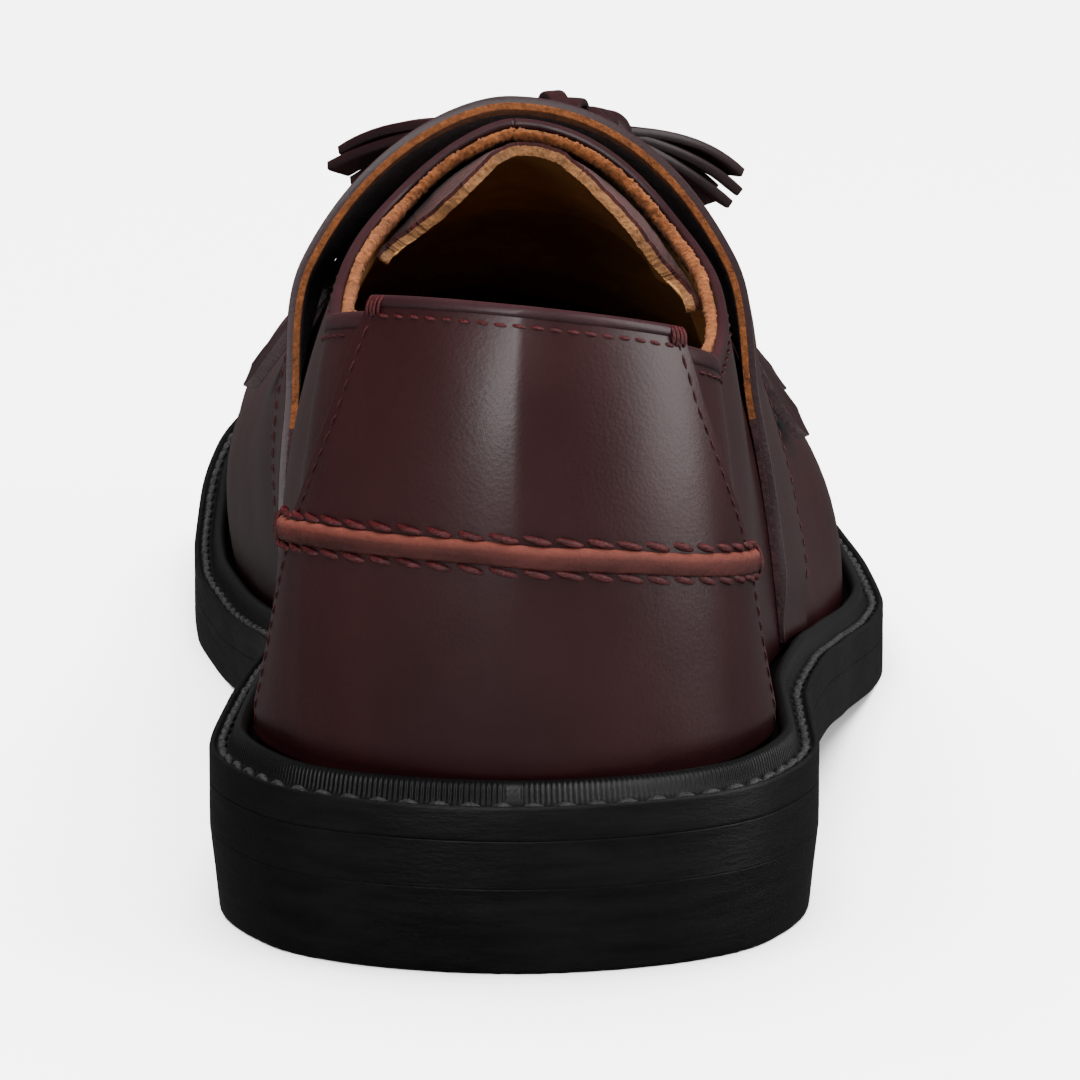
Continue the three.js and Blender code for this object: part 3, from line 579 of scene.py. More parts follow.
class Shader:
    """The node tree of one material."""

    def __init__(self, name):
        self.material = bpy.data.materials.new(name)
        self.material.use_nodes = True
        self.tree = self.material.node_tree
        self.tree.nodes.clear()

    def node(self, kind, settings=None, inputs=None, output=0):
        """Any node: its settings first, then the values or links of its sockets."""
        made = self.tree.nodes.new(kind)
        for key, value in (settings or {}).items():
            if key == "stops":
                ramp = made.color_ramp
                while len(ramp.elements) < len(value):
                    ramp.elements.new(0.5)
                for element, (position, colour) in zip(ramp.elements, value):
                    element.position = position
                    element.color = colour
            else:
                setattr(made, key, value)
        for key, value in (inputs or {}).items():
            socket = made.inputs[key]
            if isinstance(value, Value):
                self.tree.links.new(value.socket, socket)
            else:
                socket.default_value = value
        return Value(self, made.outputs[output])

    def coordinates(self, scale=(1.0, 1.0, 1.0)):
        where = self.node("ShaderNodeTexCoord", output="Object")
        if tuple(scale) == (1.0, 1.0, 1.0):
            return where
        return self.node("ShaderNodeVectorMath", {"operation": "MULTIPLY"}, {0: where, 1: scale})

    def noise(self, where, scale, detail=3.0, roughness=0.5, distortion=0.0):
        inputs = {"Vector": where, "Scale": scale, "Detail": detail, "Roughness": roughness, "Distortion": distortion}
        return self.node("ShaderNodeTexNoise", {}, inputs, "Fac")

    def cells(self, where, scale, feature="F1", randomness=1.0):
        inputs = {"Vector": where, "Scale": scale, "Randomness": randomness}
        return self.node("ShaderNodeTexVoronoi", {"feature": feature}, inputs, "Distance")

    def mix(self, factor, first, second, blend="MIX"):
        settings = {"data_type": "RGBA", "blend_type": blend}
        return self.node("ShaderNodeMix", settings, {0: factor, 6: first, 7: second}, 2)

    def attribute(self, name):
        return self.node("ShaderNodeAttribute", {"attribute_name": name}, {}, "Fac")

    def bump(self, height, distance, strength=1.0, after=None):
        inputs = {"Height": height, "Distance": distance, "Strength": strength}
        if after is not None:
            inputs["Normal"] = after
        return self.node("ShaderNodeBump", {}, inputs, "Normal")

    def finish(self, **inputs):
        """Ends the tree in one surface shader and returns the material."""
        keys = {key.replace("_", " "): value for key, value in inputs.items()}
        surface = self.node("ShaderNodeBsdfPrincipled", {}, keys, "BSDF")
        self.node_output(surface)
        return self.material

    def node_output(self, surface):
        output = self.tree.nodes.new("ShaderNodeOutputMaterial")
        self.tree.links.new(surface.socket, output.inputs["Surface"])


def colour(values, scale=1.0):
    return tuple(min(1.0, v * scale) for v in values[:3]) + (1.0,)


def polished_leather(name, base, roughness, grain=1.0, dusk=0.82):
    """Smooth box leather: fine grain that shows in the sheen, soft clouding and tiny scuffs."""
    s = Shader(name)
    where = s.coordinates()
    clouds = s.noise(where, 38.0, 4.0, 0.55)
    streaks = s.noise(s.coordinates((1.0, 1.0, 0.35)), 130.0, 3.0, 0.6)
    pores = s.cells(where, 1900.0)
    fine = s.noise(where, 5200.0, 2.0, 0.6)
    scuffs = s.noise(s.coordinates((1.0, 2.2, 0.5)), 620.0, 5.0, 0.75).between(0.66, 0.74)
    shade = (clouds * 0.7 + streaks * 0.3).between(0.33, 0.68)
    tint = s.mix(shade, colour(base, dusk), colour(base, 1.1))
    tint = s.mix(scuffs * 0.25, tint, colour(base, 2.6))
    rough = roughness + (fine - 0.5) * 0.1 + (clouds - 0.5) * 0.12 + scuffs * 0.12
    height = pores * 0.75 + fine * 0.5 + streaks * 0.3
    normal = s.bump(height, 0.000032 * grain, 0.5)
    normal = s.bump(clouds, 0.001, 0.2, normal)
    return s.finish(
        Base_Color=tint,
        Roughness=rough.clamped(),
        Normal=normal,
        Coat_Weight=0.04,
        Coat_Roughness=0.24,
        Specular_IOR_Level=0.22,
    )


def raw_leather(name, base, fuzz=1.0, roughness=0.85):
    """The fibrous cut edge or flesh side of leather."""
    s = Shader(name)
    where = s.coordinates()
    fibres = s.noise(where, 1500.0, 6.0, 0.75, 0.6)
    lumps = s.noise(where, 420.0, 3.0, 0.6)
    pits = s.cells(where, 1250.0)
    shade = (fibres * 0.6 + lumps * 0.4).between(0.3, 0.7)
    tint = s.mix(shade, colour(base, 0.38), colour(base, 1.35))
    height = fibres * 0.8 + pits * 0.6 + lumps * 0.5
    return s.finish(
        Base_Color=tint,
        Roughness=(roughness + (fibres - 0.5) * 0.15).clamped(),
        Normal=s.bump(height, 0.0004 * fuzz, 0.9),
        Specular_IOR_Level=0.12,
        Sheen_Weight=0.03,
        Sheen_Roughness=0.6,
    )


def lining_leather(name, base):
    """Soft unglazed lining with faint wrinkles and pores."""
    s = Shader(name)
    where = s.coordinates()
    clouds = s.noise(where, 55.0, 4.0, 0.6)
    wrinkles = s.noise(s.coordinates((1.0, 1.0, 2.6)), 240.0, 4.0, 0.65, 1.1)
    pores = s.cells(where, 1500.0)
    tint = s.mix(clouds.between(0.3, 0.7), colour(base, 0.68), colour(base, 1.15))
    height = wrinkles * 0.7 + pores * 0.4
    return s.finish(
        Base_Color=tint,
        Roughness=(0.62 + (wrinkles - 0.5) * 0.2).clamped(),
        Normal=s.bump(height, 0.00022, 0.7),
        Specular_IOR_Level=0.35,
    )


def rolled_seam_leather(name, base):
    """The matt strip over the heel seam, worn pale along its upper edge with a painted highlight there too, and
    darkened by painted shade along its lower edge.
    """
    s = Shader(name)
    where = s.coordinates()
    fibres = s.noise(where, 900.0, 5.0, 0.7)
    clouds = s.noise(s.coordinates((1.0, 1.0, 3.0)), 90.0, 4.0, 0.6)
    # Upper edge lighter: partly real wear, partly a painted highlight where light falls along the top of the strip.
    edge = s.attribute("upper_edge")
    rubbed_and_highlit = (edge * (0.4 + fibres * 1.1)).clamped()
    tint = s.mix(clouds.between(0.3, 0.72), colour(base, 0.62), colour(base, 1.2))
    tint = s.mix(rubbed_and_highlit, tint, (0.075, 0.02, 0.014, 1.0))
    # Painted shade: the lower edge is darkened nearly to black for the shadow under the strip.
    tint = s.mix(s.attribute("lower_edge") * 0.75, tint, (0.006, 0.0012, 0.001, 1.0))
    return s.finish(
        Base_Color=tint,
        Roughness=(0.66 + (fibres - 0.5) * 0.25).clamped(),
        Normal=s.bump(fibres + clouds * 0.7, 0.0003, 0.85),
        Specular_IOR_Level=0.14,
    )


def thread(name, base, shine=0.5):
    """Waxed twisted thread."""
    s = Shader(name)
    where = s.coordinates()
    strands = s.noise(s.coordinates((1.0, 1.0, 1.6)), 2600.0, 3.0, 0.6, 0.4)
    tint = s.mix(strands.between(0.35, 0.65), colour(base, 0.5), colour(base, 1.4))
    dirt = s.noise(where, 260.0, 3.0, 0.6)
    tint = s.mix(dirt.between(0.5, 0.75) * 0.45, tint, colour(base, 0.35))
    return s.finish(
        Base_Color=tint,
        Roughness=(shine + (strands - 0.5) * 0.2).clamped(),
        Normal=s.bump(strands, 0.00015, 0.8),
        Specular_IOR_Level=0.2,
    )


def cut_rubber(name, base, roughness, brushed=1.0):
    """Trimmed and inked rubber: long trimming marks round the edge and fine dust in them."""
    s = Shader(name)
    where = s.coordinates()
    marks = s.noise(s.coordinates((1.0, 1.0, 7.0)), 70.0, 6.0, 0.65, 0.2)
    fine = s.noise(s.coordinates((1.0, 1.0, 3.0)), 900.0, 4.0, 0.7)
    clouds = s.noise(where, 26.0, 3.0, 0.5)
    tint = s.mix((marks * 0.6 + clouds * 0.4).between(0.35, 0.7), colour(base, 0.7), colour(base, 1.5))
    dust = s.noise(where, 1600.0, 3.0, 0.8).between(0.72, 0.78)
    tint = s.mix(dust * 0.2, tint, (0.03, 0.03, 0.029, 1.0))
    rough = roughness + (marks - 0.5) * 0.28 + (clouds - 0.5) * 0.1
    height = marks * 0.7 + fine * 0.25
    return s.finish(
        Base_Color=tint,
        Roughness=rough.clamped(),
        Normal=s.bump(height, 0.00032 * brushed, 0.6),
        Specular_IOR_Level=0.1,
    )


def welt_leather(name, base):
    """Black storm-welt leather: grainy rim, ribbed bead."""
    s = Shader(name)
    where = s.coordinates()
    grain = s.noise(where, 2300.0, 4.0, 0.75)
    lumps = s.cells(where, 1150.0)
    along = s.attribute("along")
    ribs = s.node("ShaderNodeMath", {"operation": "SINE"}, {0: along * (2 * math.pi / 0.72)}) * 0.5 + 0.5
    rim = s.attribute("rim")
    tint = s.mix((grain * rim).between(0.42, 0.75) * 0.75, colour(base), colour(base, 6.0))
    height = grain * (0.25 + rim * 0.9) + lumps * rim * 0.8 + ribs * s.attribute("ribbed") * 1.0
    return s.finish(
        Base_Color=tint,
        Roughness=(0.4 + rim * 0.25 + (grain - 0.5) * 0.2).clamped(),
        Normal=s.bump(height, 0.00022, 0.75),
        Specular_IOR_Level=0.16,
    )


def material_of(name):
    """A finish made once and shared by all the pieces that use it."""
    if name in bpy.data.materials:
        return bpy.data.materials[name]
    c = bpy.context.scene.loafer_colours
    makers = {
        "burgundy_box_leather": lambda n: polished_leather(n, c.leather, 0.36),
        "burgundy_edge": lambda n: polished_leather(n, c.edge, 0.42, 1.6, 0.7),
        "burgundy_fringe": lambda n: polished_leather(n, c.fringe, 0.46, 1.3, 0.6),
        # Dark cut edge of the kiltie; the same dark finish serves as painted shade on the saddle's inner face.
        "fringe_edge": lambda n: raw_leather(n, (0.02, 0.008, 0.009), 0.6, 0.75),
        "raw_tan_edge": lambda n: raw_leather(n, c.flesh),
        "pale_tan_edge": lambda n: raw_leather(n, (0.12, 0.052, 0.019), 1.6),
        "tongue_leather": lambda n: raw_leather(n, c.tongue, 0.35, 0.8),
        "tan_lining": lambda n: lining_leather(n, c.lining),
        "rolled_seam_leather": lambda n: rolled_seam_leather(n, c.seam),
        "red_thread": lambda n: thread(n, c.thread),
        "dark_thread": lambda n: thread(n, (0.018, 0.003, 0.0038)),
        "black_thread": lambda n: thread(n, (0.012, 0.012, 0.012), 0.42),
        "sole_edge_rubber": lambda n: cut_rubber(n, c.sole, 0.46),
        "welt_leather": lambda n: welt_leather(n, c.sole),
    }
    return makers[name](name)


# Pieces of the sole


def outline_at(angle, side, inset):
    """Points of the sole's outline moved in by an inset."""
    angle = np.asarray(angle, float)

    def at(theta):
        outwards = side * np.where(theta < 0, -1, 1) > 0
        turn = np.abs(theta)
        mirrored = turn > math.pi
        turn = np.where(mirrored, 2 * math.pi - turn, turn)
        outwards = outwards ^ mirrored
        x = np.where(outwards, outer_edge(turn), -inner_edge(turn))
        return np.stack([x, SOLE_LENGTH / 2 * (1 - np.cos(theta))], axis=-1)

    fine = 0.01
    along = unit(at(angle + fine) - at(angle - fine))
    inward = np.stack([-along[..., 1] * side, along[..., 0] * side], axis=-1)
    return at(angle) + inward * inset


def outline_ring(stations, inset):
    """The whole outline as a closed loop of points, from the back round the outer side."""
    angle = np.linspace(0, math.pi, stations + 1)
    outer = outline_at(angle, 1, inset)
    inner = outline_at(angle[1:-1][::-1], -1, inset)
    return np.concatenate([outer, inner])


def ring_loops(stations, profile, height):
    """Loops of a profile of inset and lift round the whole outline, one loop for each station."""
    layers = []
    for inset, lift in profile:
        plan = outline_ring(stations, inset)
        layers.append(np.concatenate([plan, (height(plan[:, 1]) + lift)[:, None]], axis=1))
    return np.stack(layers, axis=1)


def ring_distance(loops):
    middle = loops[:, 0]
    steps = np.linalg.norm(np.diff(middle, axis=0, append=middle[:1]), axis=1)
    return np.concatenate([[0], np.cumsum(steps)[:-1]])


def plate_piece(name, levels, materials, slots_of_levels, bottom_slot, top_slot, **options):
    """A flat piece through levels of closed loops, capped across by strips from side to side."""
    count = levels[0].shape[0]
    vertices = np.concatenate(levels)
    faces = [grid_faces(len(levels), count, wrap_columns=True)]
    slots = [np.repeat(slots_of_levels, count)]
    half = count // 2
    for level, slot in ((0, bottom_slot), (len(levels) - 1, top_slot)):
        base = level * count
        left = base + np.arange(0, half + 1)
        right = base + (count - np.arange(0, half + 1)) % count
        strip = np.stack([left[:-1], left[1:], right[1:], right[:-1]], axis=1)
        faces.append(strip)
        slots.append(np.full(len(strip), slot))
    every = np.concatenate(faces)
    return make_piece(name, vertices, every, materials, np.concatenate(slots), **options)


class LOAFER_OT_sole(bpy.types.Operator):
    """Outsole and heel block, trimmed as one edge with fine joints"""

    bl_idname = "loafer.sole"
    bl_label = "Outsole and heel"

    def execute(self, context):
        sizes = context.scene.loafer_sizes
        rubber = material_of("sole_edge_rubber")
        stations = 170
        hair = sizes.joint_gap
        r = 0.03
        height = OUTSOLE_THICKNESS + SEAT - hair

        def level(inset, lift):
            plan = outline_ring(stations, inset)
            return place(np.concatenate([plan, (sole_bottom(plan[:, 1]) + lift)[:, None]], axis=1))

        profile = [(2.2, 0.0), (r, 0.0), (r * 0.3, r * 0.3), (0, r), (0, r + 0.15), (-0.02, height / 2),
                   (0, height - 0.2), (0, height - 0.04), (0.04, height), (6.0, height)]
        levels = [level(inset, lift) for inset, lift in profile]
        outsole = plate_piece("outsole_edge", levels, [rubber], [0] * (len(levels) - 1), 0, 0, merge=1e-7)
        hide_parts("outsole")

        breast = float(angle_of(HEEL_LENGTH / SOLE_LENGTH))
        angle = np.linspace(0, breast, 90)
        rng = np.random.default_rng(11)
        top = HEEL_HEIGHT + SEAT - hair

        def heel_level(inset, lift, ragged=0.0):
            outer = outline_at(angle, 1, inset)
            inner = outline_at(angle[1:], -1, inset)[::-1]
            shares = np.linspace(0, 1, 24)[1:-1, None]
            front = outer[-1] + (inner[0] - outer[-1]) * shares
            plan = np.concatenate([outer, front, inner])
            plan[:, 1] = np.minimum(plan[:, 1], HEEL_LENGTH - max(0.0, inset - HEEL_TAPER))
            rough = rng.uniform(0, ragged, len(plan)) if ragged else np.zeros(len(plan))
            return place(np.concatenate([plan, (lift + rough)[:, None]], axis=1))

        t = HEEL_TAPER
        levels = [heel_level(t + 2.5, 0.0), heel_level(t + 0.5, 0.0), heel_level(t + 0.25, 0.02, 0.12),
                  heel_level(t + 0.05, 0.28, 0.1), heel_level(t * 0.98, 0.7), heel_level(t * 0.55, top / 2),
                  heel_level(0.03, top - 0.22), heel_level(0.01, top - 0.04), heel_level(0.04, top),
                  heel_level(6.0, top)]
        heel = plate_piece("heel_block", levels, [rubber], [0] * (len(levels) - 1), 0, 0, merge=1e-7)
        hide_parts("heel")
        return {"FINISHED"}


class LOAFER_OT_welt(bpy.types.Operator):
    """Storm welt with its grooved rim, rolled bead and stitches"""

    bl_idname = "loafer.welt"
    bl_label = "Storm welt"

    def execute(self, context):
        sizes = context.scene.loafer_sizes
        top = WELT_THICKNESS
        deep = top - 0.55
        bead = BEAD_INSET
        end = BEAD_INSET + BEAD_WIDTH
        high = top + BEAD_HEIGHT
        profile = [
            (0.06, 0.0), (0.01, 0.06), (0, 0.4), (0, top - 0.4), (0.05, top - 0.14), (0.2, top), (0.42, top + 0.03),
            (0.66, top - 0.04), (0.78, top - 0.25), (0.86, deep), (1.5, deep - 0.05), (2.3, deep), (2.62, top - 0.2),
            (2.8, top + 0.35), (bead, top + 1.3), (bead + 0.22, top + 1.95), (bead + 0.6, high - 0.08),
            (bead + 0.98, high), (bead + 1.4, high - 0.16), (end - 0.15, top + 1.7), (end, top + 1.0),
            (end + 0.02, top - 0.1), (WELT_REACH, top - 0.1), (WELT_REACH, 0.0),
        ]
        rim_share = [0, 0, 0.1, 0.1, 0.2, 0.8, 1, 1, 1, 1, 1, 1, 0.6, 0.2, 0, 0, 0, 0, 0, 0, 0, 0, 0, 0]
        rib_share = [0, 0, 0, 0, 0, 0, 0, 0, 0, 0, 0, 0.2, 0.8, 1, 1, 0.8, 0.3, 0.1, 0, 0, 0, 0, 0, 0]
        stations = 190

        def lift(y):
            return sole_bottom(y) + OUTSOLE_THICKNESS + SEAT

        loops = ring_loops(stations, profile, lift)
        count = loops.shape[0]
        along = np.repeat(ring_distance(loops), len(profile))
        attributes = {
            "along": along,
            "rim": np.tile(rim_share, count),
            "ribbed": np.outer(np.minimum(1, np.minimum(np.arange(count), count - 1 - np.arange(count))), rib_share).ravel(),
        }
        wall = np.tile(np.arange(len(profile)) < 4, count).astype(int)
        welt = swept("storm_welt", place(loops), [material_of("welt_leather"), material_of("sole_edge_rubber")],
                     closed=True, slots=wall, merge=1e-7, attributes=attributes)
        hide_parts("welt")

        plan = outline_ring(400, 1.62)
        plan = np.concatenate([plan, plan[:1]])
        points = np.concatenate([plan, (lift(plan[:, 1]) + deep - 0.02)[:, None]], axis=1)
        normals = np.tile([0.0, 0.0, 1.0], (len(points), 1))
        vertices, faces = stitch_loops(points, normals, sizes.welt_stitch, sizes.welt_stitch * 0.84, 0.52, 0.34, 5)
        stitches = make_piece("welt_stitches", place(vertices), faces, [material_of("black_thread")], merge=1e-8)
        return {"FINISHED"}


# Pieces of the upper


def upper_grid(side, distance, rows, quarter_columns, vamp_columns, edge_drop=0.0):
    """Points of the quarter and vamp of one side, standing off the last."""
    path = collar_path(side, quarter_columns + 1)
    angle = path[:, 0]
    climb = path[:, 1]
    if edge_drop:
        lowered = collar_climb(angle, side, -edge_drop)
        fade = smoothstep(np.linspace(0, 1, len(angle)), 0.9, 1.0)
        climb = lowered + (climb - lowered) * fade
    share = np.linspace(0, 1, quarter_columns + 1)
    foot = angle + 0.17 * share**3
    crown_angle = np.linspace(angle[-1], math.pi, vamp_columns + 1)[1:]
    foot_angle = np.linspace(foot[-1], math.pi, vamp_columns + 1)[1:]
    tops = np.concatenate([np.stack([angle, climb], 1), np.stack([crown_angle, np.ones(vamp_columns)], 1)])
    feet = np.concatenate([foot, foot_angle])
    t = np.linspace(0, 1, rows + 1)[:, None]
    theta = feet[None] + (tops[None, :, 0] - feet[None]) * t
    level = tops[None, :, 1] * t
    return off_last(theta, side * (1 - level), distance)


def shell(name, outside, inside, edge_layers, materials, edge_slots, quarter_columns, inner_slot):
    """A closed skin from outer and inner grids of both sides, with layers along the collar edge."""
    vertices = []
    faces = []
    slots = []
    offset = 0
    for side in (1, -1):
        out, into = outside[side], inside[side]
        rows, columns = out.shape[:2]
        size = rows * columns
        skin = grid_faces(rows, columns)
        vertices += [out.reshape(-1, 3), into.reshape(-1, 3)]
        faces += [skin + offset, skin[:, ::-1] + offset + size]
        slots += [np.zeros(len(skin)), np.full(len(skin), inner_slot)]
        foot = np.arange(columns) + offset
        faces.append(np.stack([foot[:-1], foot[1:], foot[1:] + size, foot[:-1] + size], axis=1))
        slots.append(np.full(columns - 1, inner_slot))
        top = (rows - 1) * columns + np.arange(quarter_columns + 1) + offset
        rings = [top]
        extra = offset + 2 * size
        for share in edge_layers[side]:
            vertices.append(share)
            rings.append(np.arange(quarter_columns + 1) + extra)
            extra += quarter_columns + 1
        rings.append(top + size)
        for n in range(len(rings) - 1):
            a, b = rings[n], rings[n + 1]
            faces.append(np.stack([a[:-1], a[1:], b[1:], b[:-1]], axis=1))
            slots.append(np.full(quarter_columns, edge_slots[n]))
        offset = extra
    return make_piece(name, place(np.concatenate(vertices)), np.concatenate(faces), materials,
                      np.concatenate(slots), merge=2e-6)


class LOAFER_OT_upper(bpy.types.Operator):
    """Quarters and vamp as one hollow leather shell with a lining inside"""

    bl_idname = "loafer.upper"
    bl_label = "Upper and lining"

    def execute(self, context):
        rows, quarter, vamp = 34, 96, 96
        skin = LEATHER
        outside = {side: upper_grid(side, 0.0, rows, quarter, vamp) for side in (1, -1)}
        inside = {side: upper_grid(side, -skin, rows, quarter, vamp) for side in (1, -1)}
        layers = {side: [] for side in (1, -1)}
        leather = shell("upper_leather", outside, inside, layers,
                        [material_of("burgundy_box_leather"), material_of("burgundy_edge")], [1], quarter, 1)
        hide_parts("upper")
        soften(leather, 0.4)

        near = {side: upper_grid(side, -skin - 0.05, rows, quarter, vamp, 0.15) for side in (1, -1)}
        far = {side: upper_grid(side, -UPPER_WALL, rows, quarter, vamp, 0.3) for side in (1, -1)}
        lining = shell("upper_lining", near, far, layers,
                       [material_of("tan_lining"), material_of("raw_tan_edge"), material_of("tan_lining")],
                       [1], quarter, 2)
        soften(lining, 0.25)
        return {"FINISHED"}


def frayed(profile, count, amount, seed=2):
    """The same profile for each station, roughened like a cut edge."""
    rng = np.random.default_rng(seed)
    rough = rng.normal(0, amount, (count, len(profile), 2))
    swell = np.interp(np.arange(count), np.linspace(0, count, 60), rng.normal(0, amount, 60))
    return np.asarray(profile, float)[None] + rough + swell[:, None, None]


def collar_band(name, line, stand, profile, material, fray=0.0):
    """A band rolled over an edge of the upper along a line of angles and acrosses."""
    points = off_last(line[:, 0], line[:, 1], stand)
    normals = last_normal(line[:, 0], line[:, 1])
    frames = path_frames(points, normals)
    loops = profile_sweep(points, frames, frayed(profile, len(points), fray))
    return swept(name, place(loops), [material], merge=1e-7)


class LOAFER_OT_topline(bpy.types.Operator):
    """Folded topline of the quarters with its row of stitches"""

    bl_idname = "loafer.topline"
    bl_label = "Topline"

    def execute(self, context):
        sizes = context.scene.loafer_sizes
        line = both_sides(260)
        profile = [(1.9, -0.12), (1.92, 0.1), (1.5, 0.28), (0.6, 0.34), (0.1, 0.22), (-0.16, -0.1), (-0.2, -0.5),
                   (-0.1, -0.85), (0.3, -0.98), (0.8, -0.6)]
        band = collar_band("topline_fold", line, 0.0, profile, material_of("burgundy_edge"))
        profile = [(-0.2, -1.05), (-0.36, -1.25), (-0.4, -1.6), (-0.32, -2.0), (-0.1, -2.35), (0.4, -2.5),
                   (1.3, -2.48), (2.2, -2.42), (2.1, -2.1), (1.0, -1.08)]
        raw = collar_band("lining_raw_edge", both_sides(420), 0.0, profile, material_of("raw_tan_edge"), 0.1)
        for side, label in ((1, "outer"), (-1, "inner")):
            path = collar_path(side, 400)
            angle = path[:, 0]
            climb = collar_climb(angle, side, -2.9)
            keep = (angle > 0.42) & (path[:, 1] < 0.93)
            stitches = stitch_row("topline_stitches_" + label, angle[keep], side * (1 - climb[keep]), 0.05,
                                  material_of("dark_thread"), sizes.fine_stitch, sizes.fine_stitch * 0.72,
                                  0.2, 0.14, 21)
        return {"FINISHED"}


def counter_edges(upper_half, side, count):
    """The bottom-to-top front edge of a counter panel on one side: angles and climbs."""
    t = np.linspace(0, 1, count)
    low = np.zeros(count)
    high = np.full(count, 1.2)
    for _ in range(34):
        middle = (low + high) / 2
        climb = counter_climb(upper_half, side, middle, t)
        p = last_point(middle, side * (1 - climb))
        front = counter_front((p[..., 2] - HEEL_TOP) / BACK_HEIGHT)
        inside = p[..., 1] < front
        low = np.where(inside, middle, low)
        high = np.where(inside, high, middle)
    return (low + high) / 2


def counter_climb(upper_half, side, angle, t):
    """How far up the wall a counter panel's level lies, from its lower edge to its upper one."""
    if upper_half:
        low = seam_climb(angle, side, SEAM_WIDTH * 0.2)
        high = collar_climb(angle, side, COUNTER_STAND)
    else:
        low = np.full(np.shape(angle), 0.004)
        high = seam_climb(angle, side, -SEAM_WIDTH * 0.2)
    return low + (high - low) * t


def counter_grid(upper_half, stand, rows, columns):
    """Points of a counter panel, round the heel from its inner to its outer front edge."""
    t = np.linspace(0, 1, rows + 1)
    parts = []
    for side in (-1, 1):
        front = counter_edges(upper_half, side, rows + 1)
        u = np.linspace(1, 0, columns + 1) if side < 0 else np.linspace(0, 1, columns + 1)
        angle = front[:, None] * u[None]
        level = np.repeat(t[:, None], columns + 1, axis=1)
        climb = counter_climb(upper_half, side, angle, level)
        grid = off_last(angle, side * (1 - climb), stand(level) if callable(stand) else stand)
        parts.append(grid if side < 0 else grid[:, 1:])
    return np.concatenate(parts, axis=1)


